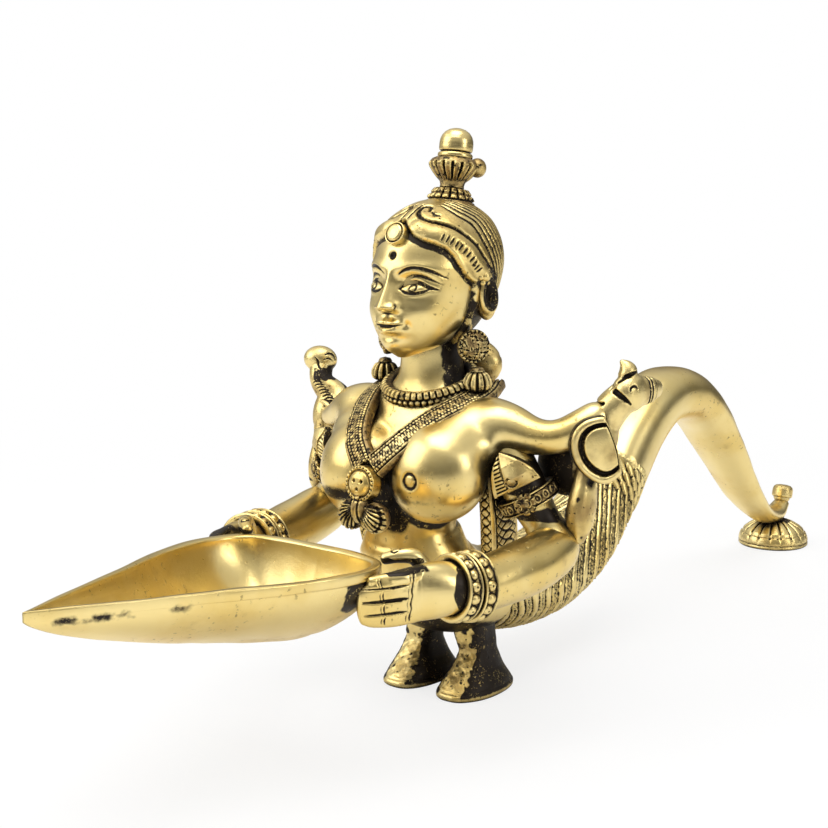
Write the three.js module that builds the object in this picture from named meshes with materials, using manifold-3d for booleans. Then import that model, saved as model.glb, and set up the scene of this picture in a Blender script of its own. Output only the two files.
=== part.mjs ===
// A cast brass oil lamp: a lady with a feathered serpent body holds a leaf-shaped bowl in both hands.
// Millimetres, +Z up. The bowl points along -Y, the tail runs along +Y, and X = 0 is the plane of symmetry.
// While it is modelled y = 0 lies between the hoofs. The last lines put the origin under the middle.
import * as THREE from "three";
import { mergeVertices } from "three/addons/utils/BufferGeometryUtils.js";
import Module from "manifold-3d";

const wasm = await Module();
wasm.setup();

// Driving dimensions

const GAP = 0.3; // between a piece and the one that it is soldered to

const BOWL = {
  tipY: -139, // the pointed end
  backY: -48.5, // the blunt end, under the breast
  halfWidth: 26,
  widestY: -64,
  rimZ: 49.5, // height of the lip at its widest
  rimRise: 0.045, // the lip climbs towards the tip by this much a millimetre
  depth: 22.4,
  wall: 1.8,
  lip: 2.6,
  fullBack: 1.7, // of the hull's section round the back: 2 is an ellipse
  fullTip: 1.25, // and towards the tip, where it is nearer a straight slope
};

// Rings of the chest, bottom to top: height, middle in y, half width, half depth.
const CHEST = [
  { z: 39, y: -12.5, a: 16.2, b: 13.4 },
  { z: 43.5, y: -13.3, a: 13.8, b: 12 },
  { z: 48, y: -14.3, a: 11.8, b: 10.8 },
  { z: 53, y: -13, a: 14, b: 11.3 },
  { z: 60, y: -11, a: 18, b: 12 },
  { z: 68, y: -9, a: 21.5, b: 11.6 },
  { z: 75, y: -8, a: 23, b: 10.5 },
  { z: 79.5, y: -7, a: 20, b: 9.4 },
  { z: 82.5, y: -6.4, a: 13, b: 8.8 },
  { z: 85, y: -6, a: 9.6, b: 8.4 },
  { z: 88.5, y: -6, a: 8.4, b: 8.2 },
  { z: 96, y: -6, a: 8.2, b: 8.2 },
];
const BREAST = { x: 12.8, y: -19.6, z: 64, rx: 13, ry: 12, rz: 13.4, lean: 0.3 };
const UPPER_BREAST = { x: 14.8, y: -13.4, z: 69.6, rx: 11, ry: 9.6, rz: 7.8 };
const SHOULDER = { x: 21, y: -7, z: 74.4, rx: 9.4, ry: 8.2, rz: 7.4 };

// The belly, the feathered back and the tail follow one line. Half width a is across, half depth b in the plane.
const SERPENT = [
  { y: -14, z: 45.5, a: 12, b: 11.6 },
  { y: -11.5, z: 36, a: 15, b: 13.4 },
  { y: -4, z: 29.6, a: 16.5, b: 12.1 },
  { y: 11, z: 24.8, a: 16.5, b: 11.3 },
  { y: 28, z: 21.9, a: 15.5, b: 11.6 },
  { y: 45, z: 22.5, a: 14.5, b: 11.6 },
  { y: 61, z: 27.5, a: 13.5, b: 11 },
  { y: 74.5, z: 36, a: 11.8, b: 10 },
  { y: 86, z: 46.5, a: 10.4, b: 9.6 },
  { y: 97, z: 57, a: 9.8, b: 9.2 },
  { y: 110, z: 64.8, a: 10.2, b: 8.8 },
  { y: 125, z: 64.6, a: 10.8, b: 8.2 },
  { y: 139, z: 57, a: 11, b: 6.8 },
  { y: 151, z: 45.5, a: 10.2, b: 5.2 },
  { y: 164, z: 32, a: 8.8, b: 4.2 },
  { y: 176.5, z: 20.3, a: 7.2, b: 3.6 },
  { y: 188.5, z: 13, a: 5.4, b: 3.3 },
  { y: 198.5, z: 11.4, a: 4.1, b: 3.1 },
  { y: 203.6, z: 13.8, a: 3, b: 2.6 },
];
const FEATHER_END = 8; // the ring of SERPENT where the feathered back ends and the smooth tail begins
const TAIL_TIP = SERPENT[SERPENT.length - 1];
const TAIL_KNOB = { y: TAIL_TIP.y + 0.6, z: TAIL_TIP.z + 3.4, r: 3.4 };
const TAIL_FOOT = { y: TAIL_TIP.y - 5.6, radius: 12.4, height: 9.4, edge: 1.4 };

const HOOF = { x: 9.2, soleA: 7.6, soleB: 13.6, soleY: 1.5, ankleZ: 11.5, ankleA: 4.7, ankleB: 5.2, ankleY: 3 };

// Rings of the head, chin to crown.
const HEAD = [
  { z: 92.6, y: -16.5, a: 3.4, b: 3.6 },
  { z: 94.4, y: -13.5, a: 7, b: 8.2 },
  { z: 98.5, y: -10.2, a: 10.6, b: 13.2 },
  { z: 104, y: -7, a: 12.9, b: 16.6 },
  { z: 110, y: -5, a: 14.1, b: 18.2 },
  { z: 116, y: -4, a: 14.3, b: 18.6 },
  { z: 121.5, y: -3.4, a: 12.8, b: 16.8 },
  { z: 126, y: -2.6, a: 9.6, b: 12.8 },
  { z: 129, y: -2, a: 4.6, b: 6.4 },
];
const HAIR = { cover: 1.5, browZ: 121.5, earY: -7.5, napeZ: 93 };
const NOSE = { y: -24.2, z: 106.2, halfWidth: 2.6, length: 9, out: 3.6 };
const JEWEL = { y: -22.3, z: 123.8, r: 3, thick: 1.2, tilt: 0.42 };

const KNOT = {
  lean: 0.16, // backwards, in radians
  y: 1.6,
  z: 129,
  collarR: 6.4,
  collarH: 4.4,
  neckR: 3.2,
  neckH: 2,
  cupR: 6.4,
  cupH: 6.4,
  flutes: 16,
  budR: 4.4,
  budH: 7.6,
};
const BUN = { y: 8.5, z: 87.5, rx: 11.5, ry: 5.6, rz: 7.4 };
const EAR = { x: 14.6, y: -2.6, z: 106.6, height: 12, width: 6.6, thick: 3 };
const STUD = { x: EAR.x, y: EAR.y - 4.6, z: EAR.z - 12.2, r: 4.2, thick: 3 };
const BELL = { z: STUD.z - 8.5, r: 3.5, height: 5.4 };

const CHOKER = { y: -6.6, z: 84, halfWidth: 11.4, halfDepth: 10.8, section: 1.7, tilt: 0.3 };
const NECKLACE = { halfWidth: 3.3, halfThick: 1.4 };
const MEDAL = { y: -35, z: 61.6, r: 4.5, thick: 3.4 };
const PENDANT = { lobeR: 4.2, lobeX: 3.6, z: 53.2, thick: 3.4 };

// The middle of the left arm from shoulder to wrist, with its radius.
const ARM = [
  { x: 25.5, y: -8, z: 70, r: 6.4 },
  { x: 31, y: -6, z: 60, r: 6 },
  { x: 36.5, y: -2, z: 50, r: 6.2 },
  { x: 38.6, y: -3, z: 45.8, r: 6.8 },
  { x: 38.2, y: -10, z: 43.6, r: 7 },
  { x: 37, y: -22, z: 42, r: 7 },
  { x: 35.2, y: -33, z: 41.4, r: 6.5 },
  { x: 33, y: -43, z: 42.2, r: 5.8 },
];
const BANGLE = { at: [-35.6, -40], width: 3.9, thick: 1.7 };
const ARMLET = { z: 57.5, width: 4, thick: 1.8, crestHeight: 10, crestLift: 2.4, crestHalf: 6.4, crestThick: 2.4 };

const HAND = { wristY: -43.2, palmX: 30.4, palmY: -49.5, fingers: 4, fingerR: 1.65, topZ: 47.2, pitch: 3.1 };
const FINGER = { rootX: 31.2, rootY: -50, tipX: 26.4, tipY: -63.2 };
const THUMB = { rootX: 29, rootY: -47.5, rootZ: 48.4, tipX: 20.8, tipY: -54.4, rise: 1.6, r: 2 };

// The smooth bracket from the left shoulder to the bird, with its radius.
const BRACKET = [
  { x: 23, y: -6.5, z: 74.4, r: 7 },
  { x: 30, y: -5.6, z: 73.2, r: 5.2 },
  { x: 36.5, y: -4.4, z: 72.8, r: 4.2 },
  { x: 41, y: -1, z: 75, r: 4.6 },
  { x: 45, y: 3.4, z: 78.4, r: 4.4 },
];
const BIRD = {
  x: 45,
  bodyY: 4.4,
  bodyZ: 73,
  bodyR: [4.8, 5.8, 9.2],
  neckR: [5.2, 4.9, 4.4],
  headX: 50.4,
  headY: 9.4,
  headZ: 84,
  headR: 5,
  beak: 7.4,
  beakR: [4.2, 3.4, 1.9],
  crest: 5,
};
// The bird's tail strip, from its body down to the elbow, and the web that ties the bird to the arm.
const TRAIN = [
  { x: 44.4, y: 3.4, z: 69, a: 2.4, b: 4.2 },
  { x: 43.6, y: 0.8, z: 62, a: 2.2, b: 3.2 },
  { x: 43.3, y: -1, z: 55, a: 2.4, b: 4 },
  { x: 42.9, y: -1.8, z: 48.5, a: 1.6, b: 2 },
];
const WEB = { x: 38.8, y: 1.5, z: 64, rx: 5.5, ry: 3.2, rz: 7.5 };
const WING = { x: 47, y: 0, z: 70.4, length: 16.6, width: 11.8, thick: 2, facing: 0.82, lean: 0.3 };
const RIGHT_WING_SHIFT = [1.5, 3, -5]; // her right wing sits lower and further back than her left
const SASH = { hipX: 19, hipY: -2.5, hipZ: 36, topX: 20.4, topY: -7.6, topZ: 64, halfWidth: 3.8, halfDepth: 5.8 };

// Facets

const ROUND = 16; // sides of a body
const SMALL = 8; // sides of a small piece
const BEAD = 6; // sides of a finger

// Shaping

const V = (x, y, z) => new THREE.Vector3(x, y, z);

// A closed skin over rings of points. Rings have the same count and close at each end on a middle point.
function skin(rings) {
  const count = rings[0].length;
  const points = rings.flat();
  const middle = (ring) => ring.reduce((sum, p) => sum.add(p), V(0, 0, 0)).divideScalar(count);
  const first = points.push(middle(rings[0])) - 1;
  const last = points.push(middle(rings[rings.length - 1])) - 1;
  const index = [];
  for (let i = 0; i < count; i++) {
    const j = (i + 1) % count;
    for (let r = 0; r + 1 < rings.length; r++) {
      const [p, q, s, t] = [r * count + i, r * count + j, (r + 1) * count + i, (r + 1) * count + j];
      index.push(p, q, t, p, t, s);
    }
    const end = (rings.length - 1) * count;
    index.push(first, j, i, last, end + i, end + j);
  }
  const geometry = new THREE.BufferGeometry().setFromPoints(points);
  geometry.setIndex(index);
  return geometry;
}

// A geometry as a solid that can be joined and cut. One that comes out inside out is turned round.
function solid(geometry) {
  const bare = geometry.clone();
  bare.deleteAttribute("normal");
  bare.deleteAttribute("uv");
  const merged = mergeVertices(bare, 1e-4);
  const vertProperties = new Float32Array(merged.attributes.position.array);
  const triVerts = new Uint32Array(merged.index.array);
  let made = new wasm.Manifold(new wasm.Mesh({ numProp: 3, vertProperties, triVerts }));
  if (made.volume() < 0) {
    triVerts.reverse();
    made = new wasm.Manifold(new wasm.Mesh({ numProp: 3, vertProperties, triVerts }));
  }
  return made;
}

const join = (...solids) => solids.reduce((sum, next) => sum.add(next));
const cut = (from, ...tools) => tools.reduce((rest, tool) => rest.subtract(tool), from);

function geometryOf(made) {
  const mesh = made.getMesh();
  const geometry = new THREE.BufferGeometry();
  geometry.setAttribute("position", new THREE.BufferAttribute(mesh.vertProperties, mesh.numProp));
  geometry.setIndex(new THREE.BufferAttribute(mesh.triVerts, 1));
  return geometry;
}

// The same solid on the other side of X = 0.
function mirrored(made) {
  const geometry = geometryOf(made);
  geometry.scale(-1, 1, 1);
  geometry.index.array.reverse();
  return solid(geometry);
}

function ellipsoid(at, radii, grow = 0, turn = [0, 0, 0], sides = ROUND) {
  const geometry = new THREE.SphereGeometry(1, sides, Math.round(sides * 0.6));
  geometry.rotateX(Math.PI / 2);
  geometry.scale(radii[0] + grow, radii[1] + grow, radii[2] + grow);
  geometry.applyMatrix4(new THREE.Matrix4().makeRotationFromEuler(new THREE.Euler(...turn)));
  geometry.translate(...at);
  return solid(geometry);
}

// A solid of revolution about +Z from [radius, height] pairs, which start and end on the axis or close a ring.
function turned(profile, sides = ROUND) {
  const geometry = new THREE.LatheGeometry(
    profile.map(([r, h]) => new THREE.Vector2(r, h)),
    sides,
  );
  geometry.rotateX(Math.PI / 2);
  return geometry;
}

function placed(geometry, at, axis = [0, 0, 1]) {
  const turn = new THREE.Quaternion().setFromUnitVectors(V(0, 0, 1), V(...axis).normalize());
  geometry.applyQuaternion(turn);
  geometry.translate(...at);
  return solid(geometry);
}

// A stack of level ellipses, as for the chest, head and hoofs.
function stack(rings, grow = 0, sides = ROUND, x = 0) {
  return solid(
    skin(
      rings.map(({ z, y, a, b }, k) => {
        const rise = k === 0 ? -grow : k === rings.length - 1 ? grow : 0;
        return Array.from({ length: sides }, (_, i) => {
          const turn = (2 * Math.PI * i) / sides;
          return V(x + (a + grow) * Math.cos(turn), y + (b + grow) * Math.sin(turn), z + rise);
        });
      }),
    ),
  );
}

// A smooth run through rings given by their middle and size: [{x, y, z, a, b}].
function sampled(rings, from, to, steps) {
  const curve = new THREE.CatmullRomCurve3(rings.map((r) => V(r.x ?? 0, r.y, r.z)));
  const sizes = new THREE.CatmullRomCurve3(rings.map((r) => V(r.a ?? r.r, r.b ?? r.r, 0)));
  const last = rings.length - 1;
  return Array.from({ length: steps + 1 }, (_, k) => {
    const t = (from + ((to - from) * k) / steps) / last;
    const size = sizes.getPoint(t);
    return { at: curve.getPoint(t), along: curve.getTangent(t), a: size.x, b: size.y };
  });
}

// A limb along sampled rings. Its sections are square to the run, with half width a across.
function limb(run, grow = 0, sides = ROUND, across = V(1, 0, 0)) {
  const rings = run.map(({ at, along, a, b }, k) => {
    const up = V(0, 0, 0).crossVectors(along, across).normalize();
    const side = V(0, 0, 0).crossVectors(up, along).normalize();
    const end = k === 0 ? -grow : k === run.length - 1 ? grow : 0;
    return Array.from({ length: sides }, (_, i) => {
      const turn = (2 * Math.PI * i) / sides;
      return at
        .clone()
        .addScaledVector(side, (a + grow) * Math.cos(turn))
        .addScaledVector(up, (b + grow) * Math.sin(turn))
        .addScaledVector(along, end);
    });
  });
  return solid(skin(rings));
}

// Bowl

const rimZ = (y) => BOWL.rimZ - BOWL.rimRise * (y - BOWL.widestY);

// Half the rim from tip to back, as a curve in x and y.
const bowlSide = new THREE.CatmullRomCurve3([
  V(0, BOWL.tipY, 0),
  V(BOWL.halfWidth * 0.24, BOWL.tipY + 15, 0),
  V(BOWL.halfWidth * 0.58, BOWL.tipY + 38, 0),
  V(BOWL.halfWidth * 0.88, BOWL.widestY - 18, 0),
  V(BOWL.halfWidth, BOWL.widestY, 0),
  V(BOWL.halfWidth * 0.86, BOWL.backY - 5, 0),
  V(BOWL.halfWidth * 0.42, BOWL.backY - 0.8, 0),
  V(0, BOWL.backY, 0),
]);

function bowlRim(inset) {
  const half = 15;
  const side = Array.from({ length: half + 1 }, (_, k) => bowlSide.getPoint(k / half));
  const middle = V(0, BOWL.widestY, 0);
  const round = [...side, ...side.slice(1, -1).reverse().map((p) => V(-p.x, p.y, 0))];
  return round.map((p) => {
    const reach = p.distanceTo(middle);
    const q = p.clone().lerp(middle, inset / reach);
    return V(q.x, q.y, rimZ(p.y));
  });
}

// A ring of the hull at a share s of its depth. All rings sink towards one lowest point.
function hullRing(rim, depth, s) {
  const low = rimZ(BOWL.widestY) - depth;
  return rim.map((p) => {
    const tipward = Math.min(1, Math.max(0, (BOWL.widestY - p.y) / (BOWL.widestY - BOWL.tipY)));
    const fullness = THREE.MathUtils.lerp(BOWL.fullBack, BOWL.fullTip, tipward);
    const share = Math.pow(1 - Math.pow(s, fullness), 1 / fullness);
    return V(p.x * share, BOWL.widestY + (p.y - BOWL.widestY) * share, low + (p.z - low) * (1 - s));
  });
}

const HULL_STEPS = [0.99, 0.94, 0.83, 0.67, 0.46, 0.24, 0.08];

function bowl(grow = 0) {
  const outer = HULL_STEPS.map((s) => hullRing(bowlRim(-grow), BOWL.depth + grow, s));
  const top = bowlRim(-grow).map((p) => V(p.x, p.y, p.z + grow));
  if (grow > 0) return solid(skin([...outer, top]));
  const edge = bowlRim(BOWL.lip);
  const inner = [...HULL_STEPS].reverse().map((s) => hullRing(edge, BOWL.depth - BOWL.wall, s));
  return solid(skin([...outer, top, edge, ...inner]));
}

// Body

function torso(grow = 0) {
  const { x, y, z, rx, ry, rz, lean } = BREAST;
  const upperBreast = [UPPER_BREAST.rx, UPPER_BREAST.ry, UPPER_BREAST.rz];
  const sides = [-1, 1].flatMap((s) => [
    ellipsoid([s * x, y, z], [rx, ry, rz], grow, [-lean, s * lean, 0], 12),
    ellipsoid([s * UPPER_BREAST.x, UPPER_BREAST.y, UPPER_BREAST.z], upperBreast, grow, [0, 0, 0], 12),
    ellipsoid([s * SHOULDER.x, SHOULDER.y, SHOULDER.z], [SHOULDER.rx, SHOULDER.ry, SHOULDER.rz], grow, [0, 0, 0], 12),
  ]);
  return join(stack(CHEST, grow), ...sides);
}

const lowerBody = (grow = 0) => limb(sampled(SERPENT, 0, FEATHER_END, 13), grow, 18);
const tailRun = sampled(SERPENT, FEATHER_END, SERPENT.length - 1, 20);
const tail = (grow = 0) => limb(tailRun, grow, 14);

const tailKnob = (grow = 0) =>
  ellipsoid([0, TAIL_KNOB.y, TAIL_KNOB.z], [TAIL_KNOB.r, TAIL_KNOB.r, TAIL_KNOB.r], grow, [0, 0, 0], SMALL);

function tailFoot() {
  const { radius, height, edge } = TAIL_FOOT;
  const dome = Array.from({ length: 5 }, (_, k) => {
    const turn = (k / 5) * (Math.PI / 2);
    return [radius * Math.cos(turn), edge + (height - edge) * Math.sin(turn)];
  });
  return placed(turned([[0, 0], [radius - 0.6, 0], [radius, 0.5], ...dome, [0, height]], 20), [0, TAIL_FOOT.y, 0]);
}

function leg() {
  const { soleA, soleB, soleY, ankleZ, ankleA, ankleB, ankleY } = HOOF;
  const rings = [
    { z: 0, y: soleY, a: soleA, b: soleB },
    { z: 2.4, y: soleY + 0.2, a: soleA, b: soleB },
    { z: ankleZ * 0.55, y: soleY + 0.8, a: (soleA + ankleA) / 2, b: (soleB + ankleB) / 2 },
    { z: ankleZ, y: ankleY, a: ankleA, b: ankleB },
    { z: ankleZ * 1.45, y: ankleY, a: ankleA * 1.25, b: ankleB * 1.3 },
    { z: ankleZ * 1.9, y: ankleY, a: ankleA * 1.4, b: ankleB * 1.5 },
  ];
  return stack(rings, 0, ROUND, HOOF.x);
}

// Head

function head(grow = 0) {
  return join(
    stack(HEAD, grow),
    ellipsoid([0, NOSE.y, NOSE.z + NOSE.length / 2], [NOSE.halfWidth * 0.7, NOSE.out * 0.6, NOSE.length * 0.62], grow, [0, 0, 0], SMALL),
    ellipsoid([0, NOSE.y, NOSE.z], [NOSE.halfWidth, NOSE.out, 2.2], grow, [0, 0, 0], SMALL),
  );
}

// The hair: a cover over the head, open over the face below a pointed arch.
function hair() {
  const { browZ, earY, napeZ } = HAIR;
  const half = HEAD[5].a + 4;
  const arch = new THREE.Shape();
  arch.moveTo(-half, napeZ - 12);
  arch.lineTo(half, napeZ - 12);
  arch.lineTo(half, browZ - 15);
  arch.quadraticCurveTo(half - 4.5, browZ - 5, 5, browZ - 1.4);
  arch.quadraticCurveTo(2, browZ - 0.4, 0, browZ + 1.6);
  arch.quadraticCurveTo(-2, browZ - 0.4, -5, browZ - 1.4);
  arch.quadraticCurveTo(-half + 4.5, browZ - 5, -half, browZ - 15);
  const window = new THREE.ExtrudeGeometry(arch, { depth: 40, bevelEnabled: false, curveSegments: 6 });
  window.rotateX(Math.PI / 2);
  window.translate(0, earY, 0);
  const under = new THREE.BoxGeometry(60, 60, 20);
  under.translate(0, 0, napeZ - 10);
  return cut(stack(HEAD, HAIR.cover), head(GAP), solid(window), solid(under));
}

const jewel = () =>
  placed(
    turned([[0, -1.4], [JEWEL.r, -1.4], [JEWEL.r, JEWEL.thick * 0.5], [JEWEL.r * 0.6, JEWEL.thick], [0, JEWEL.thick]], SMALL + 4),
    [0, JEWEL.y, JEWEL.z],
    [0, -Math.cos(JEWEL.tilt), Math.sin(JEWEL.tilt)],
  );

// Top knot

const knotAxis = [0, Math.sin(KNOT.lean), Math.cos(KNOT.lean)];
const knotAt = (h) => [0, KNOT.y + h * knotAxis[1], KNOT.z + h * knotAxis[2]];

function fluted(geometry, flutes, depth) {
  const position = geometry.attributes.position;
  for (let i = 0; i < position.count; i++) {
    const turn = Math.atan2(position.getY(i), position.getX(i));
    const pull = 1 - depth * (0.5 - 0.5 * Math.cos(flutes * turn));
    position.setXY(i, position.getX(i) * pull, position.getY(i) * pull);
  }
  return geometry;
}

function knotCollar() {
  const { collarR, collarH } = KNOT;
  const profile = [[0, -1], [collarR, -1], [collarR, collarH * 0.35], [collarR * 0.62, collarH], [0, collarH]];
  return placed(fluted(turned(profile, 32), 16, 0.08), knotAt(0), knotAxis);
}

function knotCup() {
  const { neckR, neckH, cupR, cupH, collarH, flutes } = KNOT;
  const profile = [
    [0, 0],
    [neckR, 0],
    [neckR, neckH],
    [cupR * 0.8, neckH + cupH * 0.3],
    [cupR, neckH + cupH * 0.62],
    [cupR * 0.96, neckH + cupH * 0.8],
    [cupR * 0.7, neckH + cupH * 0.88],
    [0, neckH + cupH * 0.88],
  ];
  return placed(fluted(turned(profile, flutes * 2), flutes, 0.1), knotAt(collarH + GAP), knotAxis);
}

function knotBud() {
  const { budR, budH, neckH, cupH, collarH } = KNOT;
  const profile = [[0, 0], ...Array.from({ length: 8 }, (_, k) => {
    const t = (k + 0.6) / 8.6;
    return [budR * Math.pow(Math.sin(Math.PI * Math.min(0.97, 0.28 + 0.72 * t)), 0.62), budH * t];
  }), [0, budH]];
  return placed(turned(profile, 16), knotAt(collarH + neckH + cupH * 0.88 + 2 * GAP), knotAxis);
}

const bun = (grow = 0) => ellipsoid([0, BUN.y, BUN.z], [BUN.rx, BUN.ry, BUN.rz], grow, [0, 0, 0], 14);

// Ears and ear-rings, on her left

function ear() {
  const shell = ellipsoid([EAR.x, EAR.y, EAR.z], [EAR.thick, EAR.width / 2, EAR.height / 2], 0, [0.15, 0, 0], SMALL);
  const hollow = ellipsoid([EAR.x + EAR.thick, EAR.y - 0.6, EAR.z + 0.4], [1.6, EAR.width * 0.26, EAR.height * 0.3], 0, [0.15, 0, 0], SMALL);
  return cut(shell, hollow);
}

const outward = [0.86, -0.5, 0];

function stud(grow = 0) {
  const { r, thick } = STUD;
  const rim = r + grow;
  const profile = [[0, -thick - grow], [rim * 0.8, -thick - grow], [rim, -thick * 0.3], [rim, 0.3], [rim * 0.72, 1 + grow], [0, 1.5 + grow]];
  return placed(turned(profile, 18), [STUD.x, STUD.y, STUD.z], outward);
}

function bell(grow = 0) {
  const r = BELL.r + grow;
  const half = BELL.height / 2 + grow;
  const profile = [
    [0, -half],
    [r * 0.8, -half],
    [r, -half * 0.44],
    [r * 0.9, half * 0.2],
    [r * 0.5, half],
    [0, half * 1.24],
  ];
  return placed(fluted(turned(profile, 20), SMALL, 0.08), [STUD.x + 0.6, STUD.y + 0.6, BELL.z]);
}

// Neck ornaments

function choker(grow = 0) {
  const { halfWidth, halfDepth, section, tilt } = CHOKER;
  const geometry = new THREE.TorusGeometry(halfWidth, section + grow, 6, 20);
  geometry.scale(1, halfDepth / halfWidth, 1.15);
  geometry.rotateX(tilt);
  geometry.translate(0, CHOKER.y, CHOKER.z);
  return solid(geometry);
}

// The collar band runs down from behind each shoulder over the breasts to the medallion.
function necklace() {
  const side = [
    { x: 13, y: 2.5, z: 82.6 },
    { x: 15.4, y: -3.5, z: 82.2 },
    { x: 14.8, y: -11.4, z: 80 },
    { x: 11.4, y: -20, z: 76.6 },
    { x: 6.6, y: -28, z: 70.6 },
    { x: 1.5, y: -31, z: 65.4 },
  ];
  const { halfWidth, halfThick } = NECKLACE;
  const band = (s) => {
    const curve = new THREE.CatmullRomCurve3(side.map((p) => V(s * p.x, p.y, p.z)));
    const rings = Array.from({ length: 9 }, (_, k) => {
      const at = curve.getPoint(k / 8);
      const along = curve.getTangent(k / 8);
      const outwards = V(at.x * 0.35, at.y + 16, (at.z - 60) * 0.8).multiply(V(1, 0.55, 1)).normalize();
      outwards.y = -Math.abs(outwards.y) - 0.25;
      const flat = V(0, 0, 0).crossVectors(along, outwards).normalize();
      const up = V(0, 0, 0).crossVectors(flat, along).normalize();
      return Array.from({ length: 6 }, (_, i) => {
        const turn = (2 * Math.PI * (i + 0.5)) / 6;
        return at
          .clone()
          .addScaledVector(flat, halfWidth * Math.cos(turn))
          .addScaledVector(up, halfThick * 1.5 * Math.sin(turn));
      });
    });
    return solid(skin(rings));
  };
  return join(band(1), band(-1));
}

const facing = [0, -1, 0.12];

function medallion(grow = 0) {
  const { r, thick } = MEDAL;
  const profile = [[0, -thick], [r + grow, -thick], [r + grow, 0.3], [r * 0.8, 1 + grow], [0, 1.3 + grow]];
  return placed(turned(profile, ROUND), [0, MEDAL.y, MEDAL.z], facing);
}

function pendant() {
  const lobes = [-1, 1].map((s) =>
    ellipsoid([s * PENDANT.lobeX, MEDAL.y + 1.6, PENDANT.z], [PENDANT.lobeR, PENDANT.thick, PENDANT.lobeR * 0.92], 0, [0, s * 0.5, 0], SMALL),
  );
  const bud = ellipsoid([0, MEDAL.y + 1, PENDANT.z + 2], [2.4, PENDANT.thick * 1.15, 4.4], 0, [0, 0, 0], SMALL);
  return join(...lobes, bud);
}

// Arms and hands, on her left

const armRun = sampled(ARM, 0, ARM.length - 1, 14);
const arm = (grow = 0) => limb(armRun, grow, 12, V(0.8, -0.55, 0.2));

// The point of the arm nearest to a height z on the upper arm, or to a y on the forearm.
function armPoint(test) {
  const fine = sampled(ARM, 0, ARM.length - 1, 160);
  return fine.reduce((best, p) => (test(p.at) < test(best.at) ? p : best));
}

function ringRound(point, { width, thick }, grow = 0) {
  const inner = point.a + GAP - grow;
  const outer = point.a + GAP + thick + grow;
  const h = width / 2 + grow;
  const profile = [
    [inner, -h * 0.8],
    [outer - thick * 0.3, -h],
    [outer, -h * 0.45],
    [outer, h * 0.45],
    [outer - thick * 0.3, h],
    [inner, h * 0.8],
    [inner, -h * 0.8],
  ];
  return placed(turned(profile, 16), point.at.toArray(), point.along.toArray());
}

function bangle(y) {
  const point = armPoint((at) => Math.abs(at.y - y) + (at.z > 50 ? 99 : 0));
  return ringRound(point, BANGLE);
}

const armletPoint = armPoint((at) => Math.abs(at.z - ARMLET.z) + (at.y < -12 ? 99 : 0));

const armlet = (grow = 0) => ringRound(armletPoint, ARMLET, grow);

// The leaf over the armlet stands against the front of the arm.
function crest() {
  const { crestHeight, crestHalf, crestThick } = ARMLET;
  const leaf = new THREE.Shape();
  leaf.moveTo(-crestHalf, 0);
  leaf.lineTo(crestHalf, 0);
  leaf.quadraticCurveTo(crestHalf * 0.9, crestHeight * 0.6, 0, crestHeight);
  leaf.quadraticCurveTo(-crestHalf * 0.9, crestHeight * 0.6, -crestHalf, 0);
  const geometry = new THREE.ExtrudeGeometry(leaf, { depth: crestThick, bevelEnabled: false, curveSegments: 5 });
  const up = armletPoint.along.clone().negate();
  const front = V(0.5, -1, 0).projectOnPlane(up).normalize();
  const side = V(0, 0, 0).crossVectors(up, front);
  const base = new THREE.Matrix4().makeBasis(side, up, front);
  geometry.applyMatrix4(base);
  const foot = armletPoint.at
    .clone()
    .addScaledVector(up, ARMLET.width / 2 + ARMLET.crestLift)
    .addScaledVector(front, armletPoint.a - 0.6);
  geometry.translate(...foot.toArray());
  return solid(geometry);
}

function finger(k) {
  const z = HAND.topZ - HAND.pitch * k;
  const back = k * 0.5;
  return limb(
    sampled(
      [
        { x: FINGER.rootX - k * 0.35, y: FINGER.rootY, z, r: HAND.fingerR * 1.1 },
        { x: FINGER.rootX - 0.6 - k * 0.6, y: FINGER.rootY - 5, z: z - 0.2, r: HAND.fingerR * 1.15 },
        { x: FINGER.tipX + 1.5 - k * 0.9, y: FINGER.tipY + 4 + back, z: z - 0.3, r: HAND.fingerR * 1.05 },
        { x: FINGER.tipX - k * 1.1, y: FINGER.tipY + back, z: z - 0.3, r: HAND.fingerR * 0.7 },
      ],
      0,
      3,
      4,
    ),
    0,
    BEAD,
  );
}

function hand() {
  const wrist = armRun[armRun.length - 1];
  const palm = limb(
    sampled(
      [
        { x: wrist.at.x, y: HAND.wristY, z: wrist.at.z, a: 4.6, b: 5.4 },
        { x: HAND.palmX + 0.6, y: HAND.palmY + 2, z: wrist.at.z + 0.4, a: 4, b: 6.6 },
        { x: HAND.palmX, y: HAND.palmY - 2.5, z: wrist.at.z + 0.2, a: 2.8, b: 6.6 },
      ],
      0,
      2,
      5,
    ),
    0,
    10,
  );
  const fingers = Array.from({ length: HAND.fingers }, (_, k) => finger(k));
  const { rootX, rootY, rootZ, tipX, tipY, rise, r } = THUMB;
  const rim = rimZ(tipY);
  const thumb = limb(
    sampled(
      [
        { x: rootX, y: rootY + 2, z: rootZ - 3, r: r * 1.3 },
        { x: rootX - 1.6, y: rootY - 1, z: rim + rise, r: r * 1.15 },
        { x: (rootX + tipX) / 2 - 0.6, y: (rootY + tipY) / 2 - 1, z: rim + rise + 0.5, r },
        { x: tipX, y: tipY, z: rim + rise - 0.2, r: r * 0.75 },
      ],
      0,
      3,
      6,
    ),
    0,
    8,
    V(0, 1, 0),
  );
  return join(palm, ...fingers, thumb);
}

// Brackets and birds, on her left

const bracket = (grow = 0) => limb(sampled(BRACKET, 0, BRACKET.length - 1, 7), grow, 12, V(0, 1, 0));

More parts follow.
